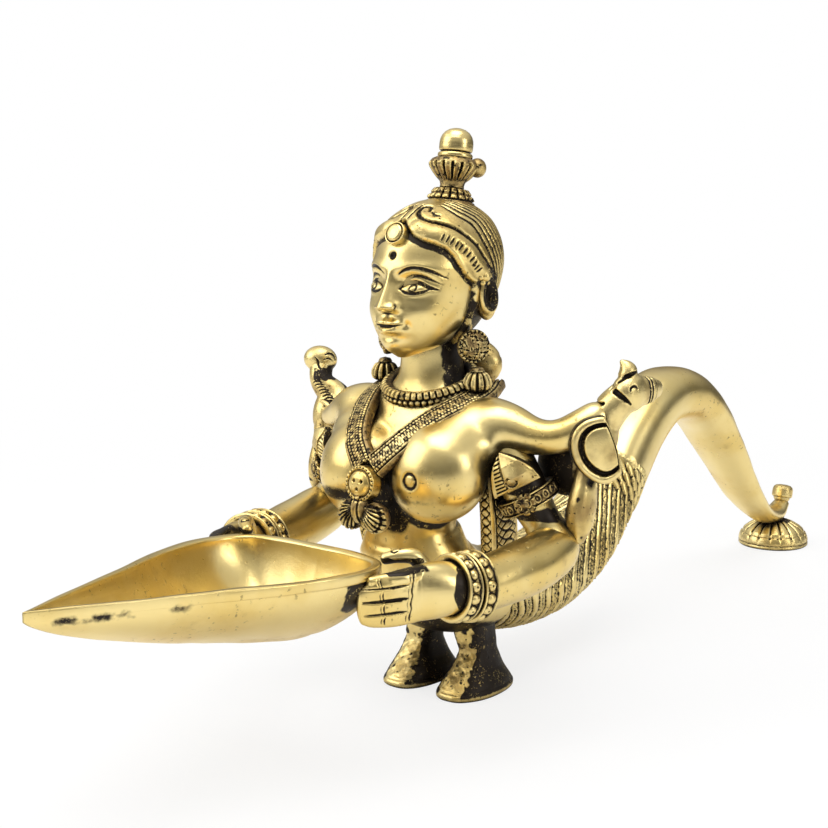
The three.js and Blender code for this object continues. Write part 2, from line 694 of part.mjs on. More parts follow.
function birdBody(grow = 0) {
  const { x, bodyY, bodyZ, bodyR, neckR, headX, headY, headZ, headR, beak, beakR, crest: comb } = BIRD;
  const body = ellipsoid([x, bodyY, bodyZ], bodyR, grow, [-0.3, 0, 0], SMALL);
  const run = (rings, steps, sides) => limb(sampled(rings, 0, rings.length - 1, steps), grow, sides);
  const neck = run(
    [
      { x: x + 0.4, y: bodyY + 2, z: bodyZ + 2.5, r: neckR[0] },
      { x: (x + headX) / 2, y: (bodyY + headY) / 2 + 0.8, z: bodyZ + 6.4, r: neckR[1] },
      { x: headX - 0.6, y: headY - 0.8, z: headZ - 1.5, r: neckR[2] },
    ],
    3,
    SMALL,
  );
  const skull = ellipsoid([headX, headY, headZ], [headR * 0.86, headR * 1.08, headR], grow, [0, 0, 0], 8);
  const bill = run(
    [
      { x: headX, y: headY + headR * 0.4, z: headZ - 0.2, r: beakR[0] },
      { x: headX + 0.4, y: headY + headR + beak * 0.26, z: headZ - 0.6, r: beakR[1] },
      { x: headX + 0.6, y: headY + headR + beak * 0.56, z: headZ - 1.4, r: beakR[2] },
    ],
    4,
    8,
  );
  const tuft = run(
    [
      { x: headX, y: headY - 1.4, z: headZ + headR * 0.5, a: 2.2, b: 3.8 },
      { x: headX, y: headY - 2.4, z: headZ + headR * 0.8 + comb * 0.35, a: 1.8, b: 2.6 },
      { x: headX, y: headY - 3.6, z: headZ + headR * 0.7 + comb * 0.8, a: 0.8, b: 0.8 },
    ],
    3,
    8,
  );
  const web = ellipsoid([WEB.x, WEB.y, WEB.z], [WEB.rx, WEB.ry, WEB.rz], grow, [0, 0, 0], SMALL);
  return join(body, neck, skull, bill, tuft, web, run(TRAIN, 6, 8));
}

// A teardrop wing, on the outer front side of the bird.
function wing() {
  const { length, width, thick, lean, facing } = WING;
  const drop = new THREE.Shape();
  drop.moveTo(0, length * 0.5);
  drop.bezierCurveTo(-width * 0.6, length * 0.5, -width * 0.72, -length * 0.1, -width * 0.2, -length * 0.42);
  drop.quadraticCurveTo(0, -length * 0.54, width * 0.22, -length * 0.42);
  drop.bezierCurveTo(width * 0.5, -length * 0.16, width * 0.62, length * 0.5, 0, length * 0.5);
  const geometry = new THREE.ExtrudeGeometry(drop, {
    depth: thick,
    bevelEnabled: true,
    bevelThickness: 0.7,
    bevelSize: 0.7,
    bevelSegments: 1,
    curveSegments: 4,
  });
  geometry.rotateZ(lean);
  geometry.rotateX(Math.PI / 2);
  geometry.rotateZ(facing);
  geometry.translate(WING.x, WING.y, WING.z);
  return solid(geometry);
}

function sash() {
  const { hipX, hipY, hipZ, topX, topY, topZ, halfWidth, halfDepth } = SASH;
  return limb(
    sampled(
      [
        { x: hipX, y: hipY, z: hipZ, a: halfWidth, b: halfDepth },
        { x: (hipX + topX) / 2 + 0.8, y: (hipY + topY) / 2, z: (hipZ + topZ) / 2, a: halfWidth, b: halfDepth },
        { x: topX, y: topY, z: topZ, a: halfWidth * 0.8, b: halfDepth * 0.8 },
      ],
      0,
      2,
      6,
    ),
    0,
    10,
  );
}

// The lamp

const brass = (color, roughness) => new THREE.MeshStandardMaterial({ color, metalness: 1, roughness });
const polished = brass(0xc9a04a, 0.22);
const engraved = brass(0xa8823a, 0.42);

const lamp = new THREE.Group();

function add(name, made, material) {
  const mesh = new THREE.Mesh(geometryOf(made), material);
  mesh.name = name;
  lamp.add(mesh);
}

// A piece on her left, and its twin on her right.
function addPair(name, made, material) {
  add(`left_${name}`, made, material);
  add(`right_${name}`, mirrored(made), material);
}

// The biggest of the bodies that a cut leaves.
const biggest = (made) => made.decompose().sort((p, q) => q.volume() - p.volume())[0];
const both = (made) => join(made, mirrored(made));
const rightWing = (made) => mirrored(made).translate(RIGHT_WING_SHIFT);

add("oil_bowl", bowl(), polished);
add("torso", torso(), polished);
add("lower_body", biggest(cut(lowerBody(), torso(GAP))), engraved);
add("tail", cut(tail(), lowerBody(GAP)), polished);
add("tail_knob", cut(tailKnob(), tail(GAP)), polished);
add("tail_foot", cut(tailFoot(), tail(GAP)), engraved);
addPair("leg", cut(leg(), lowerBody(GAP)), polished);

add("head", cut(head(), torso(GAP)), polished);
add("hair_cap", cut(hair(), torso(GAP)), engraved);
add("parting_jewel", cut(jewel(), stack(HEAD, HAIR.cover + GAP), head(GAP)), polished);
const underKnot = stack(HEAD, HAIR.cover + GAP);
add("top_knot_collar", cut(knotCollar(), underKnot), engraved);
add("top_knot_cup", knotCup(), engraved);
add("top_knot_bud", knotBud(), polished);
add("nape_bun", cut(bun(), torso(GAP), stack(HEAD, HAIR.cover + GAP)), polished);
addPair("ear", cut(ear(), stack(HEAD, HAIR.cover + GAP)), polished);
addPair("ear_stud", cut(stud(), stack(HEAD, HAIR.cover + GAP), bun(GAP)), engraved);
addPair("ear_bell", cut(bell(), stud(GAP), torso(GAP), bun(GAP), choker(GAP)), engraved);

add("choker", cut(choker(), torso(GAP), bun(GAP)), engraved);
add("necklace", cut(necklace(), torso(GAP), choker(GAP), both(bell(GAP)), both(bracket(GAP)), medallion(GAP)), engraved);
add("medallion", cut(medallion(), torso(GAP)), polished);
add("pendant_lotus", cut(pendant(), torso(GAP), medallion(GAP)), engraved);

addPair("arm", cut(arm(), torso(GAP)), polished);
BANGLE.at.forEach((y, k) => addPair(`bangle_${k + 1}`, bangle(y), engraved));
addPair("armlet", armlet(), engraved);
addPair("armlet_crest", cut(crest(), arm(GAP), torso(GAP), bracket(GAP)), engraved);
addPair("hand", cut(hand(), bowl(GAP), arm(GAP)), polished);

addPair("bracket", cut(bracket(), torso(GAP), arm(GAP)), polished);
addPair("bird", biggest(cut(birdBody(), bracket(GAP), arm(GAP), armlet(GAP))), engraved);
const wingSeat = join(birdBody(GAP), bracket(GAP));
add("left_wing", cut(wing(), wingSeat, arm(GAP)), engraved);
add("right_wing", cut(rightWing(wing()), mirrored(wingSeat), mirrored(arm(GAP))), engraved);
addPair("sash", cut(sash(), lowerBody(GAP), torso(GAP), arm(GAP), armlet(GAP)), engraved);

// The origin goes under the middle of the whole, on the plane that the lamp stands on.
const bounds = new THREE.Box3().setFromObject(lamp);
lamp.position.y = -(bounds.min.y + bounds.max.y) / 2;

export default lamp;
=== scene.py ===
"""A cast brass oil lamp: a lady with a feathered serpent body holds out a leaf-shaped bowl."""
import math
from functools import partialmethod

import bpy
import numpy as np
from mathutils import Matrix, Vector
from mathutils.bvhtree import BVHTree
from mathutils.kdtree import KDTree


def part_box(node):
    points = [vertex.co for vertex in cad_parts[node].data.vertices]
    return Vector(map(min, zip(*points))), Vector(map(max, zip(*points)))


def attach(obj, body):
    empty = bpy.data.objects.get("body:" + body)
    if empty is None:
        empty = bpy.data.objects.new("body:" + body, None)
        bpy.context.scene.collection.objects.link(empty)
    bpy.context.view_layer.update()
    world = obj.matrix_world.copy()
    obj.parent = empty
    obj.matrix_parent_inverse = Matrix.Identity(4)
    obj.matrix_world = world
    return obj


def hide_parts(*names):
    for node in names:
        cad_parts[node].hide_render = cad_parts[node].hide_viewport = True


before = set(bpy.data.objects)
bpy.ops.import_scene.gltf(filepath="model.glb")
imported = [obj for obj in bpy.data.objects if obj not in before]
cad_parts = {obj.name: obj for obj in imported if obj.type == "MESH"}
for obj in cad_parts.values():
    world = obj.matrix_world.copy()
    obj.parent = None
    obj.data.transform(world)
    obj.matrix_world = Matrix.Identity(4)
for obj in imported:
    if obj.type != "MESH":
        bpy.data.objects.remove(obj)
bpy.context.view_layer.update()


# Studio
# A plain pale floor in a white surround, with soft lamps over it. The camera stands where the
# photographer stood, in front of the lamp, a little to its left and a little above.
class Sock:
    """An output of a shader node, with the signs of arithmetic."""

    def __init__(self, tree, socket):
        self.tree, self.socket = tree, socket

    def math(self, operation, *others):
        return Shader(self.tree).node("ShaderNodeMath", {"operation": operation}, [self, *others])

    __add__ = __radd__ = partialmethod(math, "ADD")
    __mul__ = __rmul__ = partialmethod(math, "MULTIPLY")
    __sub__ = partialmethod(math, "SUBTRACT")
    most, least = partialmethod(math, "MAXIMUM"), partialmethod(math, "MINIMUM")

    def __rsub__(self, other):
        return self * -1 + other

    def ramp(self, low, high):
        """0 below low, 1 above high, and smooth between."""
        smooth = {"interpolation_type": "SMOOTHSTEP"}
        return Shader(self.tree).node("ShaderNodeMapRange", smooth, [self, low, high, 0.0, 1.0])


class Shader:
    """Adds nodes to a material or world."""

    def __init__(self, tree):
        self.tree = tree

    def node(self, kind, settings=None, values=(), out=0):
        made = self.tree.nodes.new(kind)
        for key, value in (settings or {}).items():
            setattr(made, key, value)
        pairs = values.items() if isinstance(values, dict) else enumerate(values)
        for key, value in pairs:
            if isinstance(value, Sock):
                self.tree.links.new(value.socket, made.inputs[key])
            else:
                made.inputs[key].default_value = value
        return Sock(self.tree, made.outputs[out]) if len(made.outputs) else None

    def blend(self, share, one, two):
        """A colour between two colours."""
        return self.node("ShaderNodeMix", {"data_type": "RGBA"}, {0: share, 6: one, 7: two}, out=2)

    def noise(self, scale, detail, **where):
        return self.node("ShaderNodeTexNoise", values={**where, "Scale": scale, "Detail": detail})


def new_shader(owner):
    owner.use_nodes = True
    owner.node_tree.nodes.clear()
    return Shader(owner.node_tree)


CAMERA_AT = (0.2537, -0.3669, 0.1458)
CAMERA_AIM = (0.0, -0.0491, 0.0763)
TOWARDS_CAMERA = (0.624, -0.781, 0.0)
LENS = 36 * 1600 / 828

bpy.ops.object.select_all(action="DESELECT")
view_line = Vector(CAMERA_AIM) - Vector(CAMERA_AT)
bpy.ops.object.camera_add(location=CAMERA_AT, rotation=view_line.to_track_quat("-Z", "Y").to_euler())
camera = bpy.context.object
camera.data.sensor_width = 36
camera.data.lens = LENS
camera.data.clip_start = 0.01
bpy.context.scene.camera = camera
bpy.context.scene.view_settings.view_transform = "Standard"

world = bpy.data.worlds.new("white_surround")
bpy.context.scene.world = world
sky = new_shader(world)
way = sky.node("ShaderNodeTexCoord", out=0)


def turned_to(way_there):
    return sky.node("ShaderNodeVectorMath", {"operation": "DOT_PRODUCT"}, [way, way_there], out=1)


overhead = turned_to((0, 0, 1)).ramp(0.05, 0.75)
behind = 1 - turned_to(TOWARDS_CAMERA).ramp(-0.55, 0.35)
sideways = turned_to((-0.9, -0.35, 0.2)).ramp(0.2, 0.9)
tent = (overhead * 0.56 + behind * 0.06 + sideways * 0.3 + 0.03).least(1.0)
seen = sky.node("ShaderNodeLightPath", out=0)
level = seen.most(tent)
surround = sky.node("ShaderNodeBackground", values={"Color": (1, 1, 1, 1), "Strength": level})
sky.node("ShaderNodeOutputWorld", values={"Surface": surround})

bpy.ops.mesh.primitive_circle_add(vertices=96, radius=2.4, fill_type="NGON", location=(0, 0, 0))
floor = bpy.context.object
floor.name = "floor"
floor_paint = bpy.data.materials.new("pale_floor")
paint = new_shader(floor_paint)
tone = paint.blend(paint.noise(40.0, 3.0), (0.86, 0.86, 0.86, 1), (0.88, 0.88, 0.88, 1))
matt = paint.node("ShaderNodeBsdfDiffuse", values={"Color": tone})
white = paint.node("ShaderNodeEmission", values={"Color": (1, 1, 1, 1), "Strength": 1.0})
lit = paint.node("ShaderNodeLightPath", out=0)
place = paint.node("ShaderNodeTexCoord", out=3)
away = paint.node("ShaderNodeVectorMath", {"operation": "LENGTH"}, [place], out=1)
bleached = lit * (away.ramp(0.12, 0.42) * 0.22 + 0.78)
surface = paint.node("ShaderNodeMixShader", values=[bleached, matt, white])
paint.node("ShaderNodeOutputMaterial", values={"Surface": surface})
floor.data.materials.append(floor_paint)


def softbox(name, at, aim, width, depth, power):
    bpy.ops.object.light_add(type="AREA", location=at)
    lamp = bpy.context.object
    lamp.name = name
    lamp.data.shape = "RECTANGLE"
    lamp.data.size, lamp.data.size_y = width, depth
    lamp.data.energy = power
    lamp.rotation_euler = (Vector(aim) - Vector(at)).to_track_quat("-Z", "Y").to_euler()


softbox("overhead", (0.05, -0.15, 0.95), (0, -0.02, 0), 0.7, 0.7, 5.0)
softbox("left_front", (-0.6, -0.75, 0.6), (0, -0.05, 0.07), 0.8, 0.8, 4.4)
softbox("right_side", (0.95, 0.1, 0.4), (0, 0.0, 0.05), 0.3, 0.5, 2.0)


# Brass
# The lamp is cast in yellow brass and polished by hand. Dark patina stays in every hollow, raised
# places are worn bright, and the engraved pieces are browner and duller than the smooth ones.
# Ambient occlusion adds painted shade to the colour in crevices and where parts shelter one another.
BRASS_PALE = (0.88, 0.705, 0.31, 1)
BRASS_DEEP = (0.79, 0.585, 0.20, 1)
TARNISH_AND_SHADE = (0.24, 0.145, 0.060, 1)
PATINA_AND_SHADE = (0.016, 0.010, 0.005, 1)


def brass(name, roughness, tarnish, grime, grain):
    """Brass with patina and painted shade where the patina_and_shade attribute and ambient occlusion mark
    them, bright where worn.
    """
    made = bpy.data.materials.new(name)
    sh = new_shader(made)
    at = sh.node("ShaderNodeTexCoord", out=3)
    hollow = sh.node("ShaderNodeAttribute", {"attribute_name": "patina_and_shade"}, out=2)
    worn = sh.node("ShaderNodeAttribute", {"attribute_name": "worn"}, out=2)
    cloud, blotch = sh.noise(55.0, 4.0, Vector=at), sh.noise(190.0, 4.0, Vector=at)
    speck, grit = sh.noise(800.0, 3.0, Vector=at), sh.noise(2600.0, 2.0, Vector=at)
    # Ambient occlusion near and far: patina in the crevices, and painted shade where parts shelter one
    # another.
    close = sh.node("ShaderNodeAmbientOcclusion", {"samples": 4}, {"Distance": 0.0022}, out=1)
    wide = sh.node("ShaderNodeAmbientOcclusion", {"samples": 4}, {"Distance": 0.011}, out=1)
    nook_patina_and_shade = (1 - close).ramp(0.3, 0.85)
    shelter_patina_and_shade = (1 - wide).ramp(0.3, 0.9)
    dull_and_shade = shelter_patina_and_shade * 1.15 + (blotch - 0.5) * 1.5 + (cloud - 0.5) * 1.0 + (tarnish - 0.25) - worn * 0.9
    dull_and_shade = dull_and_shade.ramp(0.0, 0.8)
    dirt_and_shade = hollow * 1.5 + nook_patina_and_shade * 0.8 + shelter_patina_and_shade * 0.72 + grime * 0.12
    dirt_and_shade = dirt_and_shade + (speck - 0.5) * 1.1 * (hollow + nook_patina_and_shade + shelter_patina_and_shade + grime * 0.5) - worn * 0.25
    pits = speck.ramp(0.62, 0.70) * cloud.ramp(0.44, 0.60) * grime
    scoured = grit.ramp(0.54, 0.66) * speck.ramp(0.48, 0.58) * blotch.ramp(0.44, 0.58) * 0.8
    dark = dirt_and_shade.ramp(0.25, 0.8).most(pits.least(1.0)) * (1 - scoured)
    metal = sh.blend(cloud.ramp(0.35, 0.7), BRASS_PALE, BRASS_DEEP)
    colour = sh.blend(dark, sh.blend(dull_and_shade * 0.85, metal, TARNISH_AND_SHADE), PATINA_AND_SHADE)
    rough = (roughness + dull_and_shade * 0.14 + (blotch - 0.5) * 0.12 + (speck - 0.5) * 0.10 + dark * 0.12).least(0.9)
    relief = blotch * 0.5 + speck * 0.4 + grit * 0.35 - pits * 1.5
    bump = sh.node("ShaderNodeBump", values={"Strength": grain, "Distance": 0.00016, "Height": relief})
    finish = {"Base Color": colour, "Metallic": 1 - dark * 0.4, "Roughness": rough, "Normal": bump}
    surface = sh.node("ShaderNodeBsdfPrincipled", values=finish)
    sh.node("ShaderNodeOutputMaterial", values={"Surface": surface})
    return made


polished = brass("smooth_brass", 0.31, 0.1, 0.5, 0.35)
engraved = brass("chased_brass", 0.34, 0.48, 1.2, 0.9)
aged = brass("aged_brass", 0.36, 0.9, 3.4, 1.3)


# Oil bowl
# A leaf-shaped bowl with a thick flat lip. A filed band runs round under the lip, and soot has stained
# it near the point. It is cast in one with the lip and polished inside and out.
BOWL_TIP_Y, BOWL_BACK_Y, BOWL_WIDEST_Y = -139.0, -48.5, -64.0
BOWL_HALF, BOWL_RIM_Z, BOWL_RISE, BOWL_DEPTH, BOWL_WALL = 26.0, 49.5, 0.045, 22.4, 1.8
BOWL_LIP, BOWL_BAND, BOWL_BAND_PROUD = 2.4, 2.6, 0.45
BOWL_FULL_BACK, BOWL_FULL_TIP = 1.7, 1.25
FINGER_PATCH_AT = (25.0, -65.8)  # the dark patch under the lip where her left fingertips meet the bowl
TO_FRAME_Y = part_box("oil_bowl")[0].y * 1000 - BOWL_TIP_Y


def pick(*pieces):
    bpy.ops.object.select_all(action="DESELECT")
    for piece in pieces:
        piece.select_set(True)
    bpy.context.view_layer.objects.active = pieces[0]


def points_of(piece, what="co"):
    flat = np.empty(len(piece.data.vertices) * 3)
    piece.data.vertices.foreach_get(what, flat)
    return flat.reshape(-1, 3)


def move_points(piece, points):
    piece.data.vertices.foreach_set("co", np.ascontiguousarray(points, dtype=float).ravel())
    piece.data.update()


def face_out(piece, seam=1e-5):
    """Closes the seams of a piece and turns its faces outwards."""
    pick(piece)
    bpy.ops.object.mode_set(mode="EDIT")
    bpy.ops.mesh.select_all(action="SELECT")
    bpy.ops.mesh.remove_doubles(threshold=seam)
    bpy.ops.mesh.normals_make_consistent(inside=False)
    bpy.ops.object.mode_set(mode="OBJECT")


def modify(piece, kind, **settings):
    pick(piece)
    modifier = piece.modifiers.new(kind.lower(), kind)
    for key, value in settings.items():
        setattr(modifier, key, value)
    bpy.ops.object.modifier_apply(modifier=modifier.name)
    return piece


def skin(rings):
    """A closed skin: a flat grid rolled round onto rings of points, and drawn together at both ends."""
    rings = np.asarray(rings, dtype=float)
    count, sides = rings.shape[:2]
    bpy.ops.mesh.primitive_grid_add(x_subdivisions=sides, y_subdivisions=count + 1, calc_uvs=False)
    piece = bpy.context.object
    sheet = points_of(piece)
    row = np.rint((sheet[:, 1] + 1) / 2 * (count + 1)).astype(int)
    column = np.rint((sheet[:, 0] + 1) / 2 * sides).astype(int) % sides
    ends = [np.repeat(end.mean(0)[None, None], sides, 1) for end in (rings[0], rings[-1])]
    move_points(piece, np.concatenate([ends[0], rings, ends[1]])[row, column])
    face_out(piece)
    return piece


def through(rows, count):
    """A smooth run through rows of numbers, of which the first three are a place."""
    rows = np.asarray(rows, dtype=float)
    rows = np.vstack([2 * rows[0] - rows[1], rows, 2 * rows[-1] - rows[-2]])
    at = np.linspace(0, len(rows) - 3 - 1e-9, count)
    k = at.astype(int)
    t = (at - k)[:, None]
    p, q, r, s = rows[k], rows[k + 1], rows[k + 2], rows[k + 3]

    def gap(one, two):
        return np.sqrt(np.linalg.norm((two - one)[:, :3], axis=1, keepdims=True)) + 1e-6

    d, e, f = gap(p, q), gap(q, r), gap(r, s)
    start = ((q - p) / d - (r - p) / (d + e) + (r - q) / e) * e
    end = ((r - q) / e - (s - q) / (e + f) + (s - r) / f) * e
    return (2 * q - 2 * r + start + end) * t**3 + (3 * r - 3 * q - 2 * start - end) * t**2 + start * t + q


def soft_step(value, low, high):
    share = np.clip((value - low) / (high - low), 0, 1)
    return share * share * (3 - 2 * share)


def within(value, low, full, fading, high):
    """1 where a value lies between full and fading, and 0 below low and above high."""
    return soft_step(value, low, full) * (1 - soft_step(value, fading, high))


def relaxed(values, edges, rounds):
    """Values at the points of a mesh, each drawn towards its neighbours."""
    one, two = edges
    count = len(values)
    ties = np.maximum(np.bincount(one, minlength=count) + np.bincount(two, minlength=count), 1)
    for _ in range(rounds):
        drawn = [np.bincount(one, c[two], count) + np.bincount(two, c[one], count) for c in values.T]
        values = 0.5 * values + 0.5 * np.stack(drawn, 1) / ties[:, None]
    return values


def uneven(points, length, seed):
    """Soft unevenness from -1 to 1, as a hand file leaves it."""
    draw = np.random.default_rng(seed)
    ways = draw.normal(size=(7, 3))
    ways /= np.linalg.norm(ways, axis=1, keepdims=True)
    turns = points @ ways.T * (2 * np.pi / (length * draw.uniform(0.7, 1.6, 7)))
    return np.sin(turns + draw.uniform(0, 2 * np.pi, 7)).mean(1) * 1.8


def settle(piece, name, finish, nodes, reach=10, hollow=(0.02, 0.10), wave=0.10, soot=None):
    """Finishes a piece: hand unevenness, dark hollows with any given grime and painted shade, brass, its
    place in the frame and its node.
    """
    points, normals = points_of(piece), points_of(piece, "normal")
    points = points + normals * (uneven(points, 13.0, 5) * wave)[:, None]
    edges = np.empty(len(piece.data.edges) * 2, dtype=np.int32)
    piece.data.edges.foreach_get("vertices", edges)
    edges = edges.reshape(-1, 2).T
    depth = ((relaxed(points, edges, reach) - points) * normals).sum(1)
    patina_and_shade = np.clip((depth - hollow[0]) / (hollow[1] - hollow[0]), 0, 1)
    if soot is not None:
        patina_and_shade = np.maximum(patina_and_shade, soot)
    patina_and_shade = relaxed(patina_and_shade[:, None], edges, 1)[:, 0]
    worn = np.clip(-depth / hollow[1] - 0.1, 0, 1)
    points[:, 1] += TO_FRAME_Y
    move_points(piece, points / 1000)
    for label, values in (("patina_and_shade", patina_and_shade), ("worn", worn)):
        marks = piece.data.attributes.new(label, "FLOAT", "POINT")
        marks.data.foreach_set("value", values)
    piece.name = piece.data.name = name
    piece.data.materials.clear()
    piece.data.materials.append(finish)
    pick(piece)
    bpy.ops.object.shade_smooth()
    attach(piece, "root")
    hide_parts(*nodes)
    return piece


bowl_side = through(
    [
        (0, BOWL_TIP_Y, 0),
        (BOWL_HALF * 0.24, BOWL_TIP_Y + 15, 0),
        (BOWL_HALF * 0.58, BOWL_TIP_Y + 38, 0),
        (BOWL_HALF * 0.88, BOWL_WIDEST_Y - 18, 0),
        (BOWL_HALF, BOWL_WIDEST_Y, 0),
        (BOWL_HALF * 0.86, BOWL_BACK_Y - 5, 0),
        (BOWL_HALF * 0.42, BOWL_BACK_Y - 0.8, 0),
        (0, BOWL_BACK_Y, 0),
    ],
    140,
)
bowl_rim = np.vstack([bowl_side, (bowl_side[1:-1] * (-1, 1, 1))[::-1]])
bowl_rim[:, 2] = BOWL_RIM_Z - BOWL_RISE * (bowl_rim[:, 1] - BOWL_WIDEST_Y)
bowl_middle = np.array([0, BOWL_WIDEST_Y, 0])


def bowl_inset(amount, drop=0.0):
    """The rim's line, drawn in towards the middle of the bowl."""
    flat = (bowl_rim - bowl_middle) * (1, 1, 0)
    reach = np.linalg.norm(flat, axis=1, keepdims=True)
    ring = bowl_rim - flat * amount / reach
    ring[:, 2] -= drop
    return ring


def bowl_hull(edge, depth, turn):
    """A ring of the hull, from its lowest point at turn 0 to the edge at a quarter turn."""
    tipward = np.clip((BOWL_WIDEST_Y - edge[:, 1]) / (BOWL_WIDEST_Y - BOWL_TIP_Y), 0, 1)
    full = BOWL_FULL_BACK + (BOWL_FULL_TIP - BOWL_FULL_BACK) * tipward
    out, down = math.sin(turn) ** (2 / full), math.cos(turn) ** (2 / full)
    low = BOWL_RIM_Z - depth
    ring = edge.copy()
    ring[:, 0] = edge[:, 0] * out
    ring[:, 1] = BOWL_WIDEST_Y + (edge[:, 1] - BOWL_WIDEST_Y) * out
    ring[:, 2] = low + (edge[:, 2] - low) * (1 - down)
    return ring


turns = np.linspace(0.03, math.pi / 2, 60)
edge = bowl_inset(BOWL_BAND_PROUD, BOWL_BAND)
outer = [bowl_hull(edge, BOWL_DEPTH - BOWL_BAND, turn) for turn in turns]
band_steps = ((0.35, 0.93), (0, 0.84), (0, 0.45), (0, 0.16))  # shares of its relief and its width
band = [bowl_inset(BOWL_BAND_PROUD * s, BOWL_BAND * d) for s, d in band_steps]
lip_steps = ((0.12, 0.04), (0.4, 0.0), (BOWL_LIP - 0.5, 0.05), (BOWL_LIP, 0.3))  # inwards and down
lip = [bowl_inset(inwards, down) for inwards, down in lip_steps]
inside = bowl_inset(BOWL_LIP + 0.15, 0.6)
inner = [bowl_hull(inside, BOWL_DEPTH - BOWL_WALL, turn) for turn in turns[::-1]]
bowl = skin(outer + band + lip + inner)
bowl_at = points_of(bowl)
x, y, z = bowl_at.T
facing = points_of(bowl, "normal")
below_rim = BOWL_RIM_Z - BOWL_RISE * (y - BOWL_WIDEST_Y) - z
from_tip = y - BOWL_TIP_Y
under_lip = within(below_rim, 1.4, 2.0, 2.7, 5.2) * (facing[:, 2] < 0.2)
near_tip = within(from_tip, 4.5, 7, 21, 25) + 0.8 * within(from_tip, 28, 30, 33, 36)
blotch = soft_step(uneven(bowl_at, 4.0, 11) + 0.5 * uneven(bowl_at, 1.6, 12), -1.3, 0.3)
inner_edge = (below_rim < 0.9) & (np.abs(facing[:, 2] - 0.6) < 0.35) & (x > 0)
notches = inner_edge * (np.sin(y * 2.1) > 0.4) * within(from_tip, 6, 9, 40, 50)
from_fingers = np.hypot(x - FINGER_PATCH_AT[0], y - FINGER_PATCH_AT[1]) + 0.6 * uneven(bowl_at, 2.4, 13)
by_fingers = 1 - soft_step(from_fingers, 2.6, 3.6)
by_fingers = by_fingers * (below_rim > 2.5) * soft_step(z, 34, 37) * (facing[:, 0] > 0)
bowl_darkening = np.max([0.5 * under_lip * near_tip * blotch, 0.9 * by_fingers, 0.6 * notches], 0)
settle(bowl, "leaf_bowl", polished, ["oil_bowl"], reach=6, hollow=(0.05, 0.2), wave=0.09, soot=bowl_darkening)


# Torso
# Chest, breasts, shoulders and the smooth brackets that run out to the birds are one casting, filed
# smooth. A thin skirt over the belly ends in a dark edge where the feathers begin.
CHEST = [  # height, middle in y, half width, half depth
    (39, -12.5, 16.2, 13.4), (43.5, -13.3, 13.8, 12), (48, -14.3, 11.8, 10.8), (53, -13, 14, 11.3),
    (60, -11, 18, 12), (68, -9, 21.5, 11.6), (75, -8, 23, 10.5), (79.5, -7, 20, 9.4),
    (82.5, -6.4, 13, 8.8), (85, -6, 9.6, 8.4), (88.5, -6, 8.4, 8.2), (96, -6, 8.2, 8.2),
]
BREAST_AT, BREAST_SIZE, BREAST_LEAN = (12.8, -19.6, 64), (13, 12, 13.4), 0.3
SHOULDER_AT, SHOULDER_SIZE = (21, -7, 74.4), (9.4, 8.2, 7.4)
UPPER_SLOPE = [
    (13.6, -18.6, 65.5, 12.4), (14.2, -15.4, 69.2, 10.4), (15.2, -12, 73, 8.2), (16.5, -9, 76.4, 6)
]
UPPER_BREAST_AT, UPPER_BREAST_SIZE = (14.8, -13.4, 69.6), (11, 9.6, 7.8)
BRACKET = [  # x, y, z, radius
    (19, -6.8, 74.6, 7.6), (26, -6.4, 74.2, 6.6), (32, -5.6, 73.0, 5.1), (37.5, -4.0, 73.0, 4.5),
    (41.5, -0.6, 75.2, 4.7), (45, 3.4, 78.4, 4.4),
]
FAR_BRACKET = [*BRACKET[:2], (31.6, -5.2, 72.2, 4.7), (36.6, -3.2, 70.6, 3.7), (40.5, 0.5, 70.2, 3.4)]
SERPENT = [  # y, z, half width, half depth
    (-14, 45.5, 12, 11.6), (-11.5, 36, 15, 13.4), (-4, 29.6, 16.5, 12.1), (11, 24.8, 16.5, 11.3),
    (28, 21.9, 15.5, 11.6), (45, 22.5, 14.5, 11.6), (61, 27.5, 13.5, 11), (74.5, 36, 11.8, 10),
    (86, 46.5, 10.4, 9.6), (97, 57, 9.8, 9.2), (110, 64.8, 10.2, 8.8), (125, 64.6, 10.8, 8.2),
    (139, 57, 11, 6.8), (151, 45.5, 10.2, 5.2), (164, 32, 8.8, 4.2), (176.5, 20.3, 7.2, 3.6),
    (188.5, 13, 5.4, 3.3), (198.5, 11.4, 4.1, 3.1), (203.6, 13.8, 3, 2.6),
]


def round_turns(sides):
    return np.linspace(0, 2 * math.pi, sides, endpoint=False)


def lengths(line):
    """The distance along a line of points, at each of them."""
    return np.concatenate([[0], np.cumsum(np.linalg.norm(np.diff(line, axis=0), axis=1))])


def spaced(line, count, weigh=1, closed=False):
    """Evenly spaced places along a line of rows of numbers."""
    length = lengths(line * weigh)
    even = np.linspace(0, length[-1], count, endpoint=not closed)
    return np.stack([np.interp(even, length, column) for column in line.T], 1)


def stacked(rows, count, sides, x=0.0):
    """Evenly spaced level ellipses through rows of height, middle in y, half width and half depth."""
    run = spaced(through([(x, y, z, a, b) for z, y, a, b in rows], 1200), count, (0, 0, 1, 1, 0))
    turn = round_turns(sides)
    reach = np.stack([np.outer(run[:, 3], np.cos(turn)), np.outer(run[:, 4], np.sin(turn))], 2)
    return run[:, None, :3] + np.pad(reach, ((0, 0), (0, 0), (0, 1)))


def groove(away, width):
    return np.clip(1 - (away / width) ** 2, 0, 1)


def off_whole(value):
    return np.abs(value - np.round(value))


def square_on(run, across):
    """The side and up directions of each section of a run, with across kept sideways."""
    along = np.gradient(run[:, :3], axis=0)
    along /= np.linalg.norm(along, axis=1, keepdims=True)
    up = np.cross(along, np.asarray(across, dtype=float))
    up /= np.linalg.norm(up, axis=1, keepdims=True)
    return np.cross(up, along), up


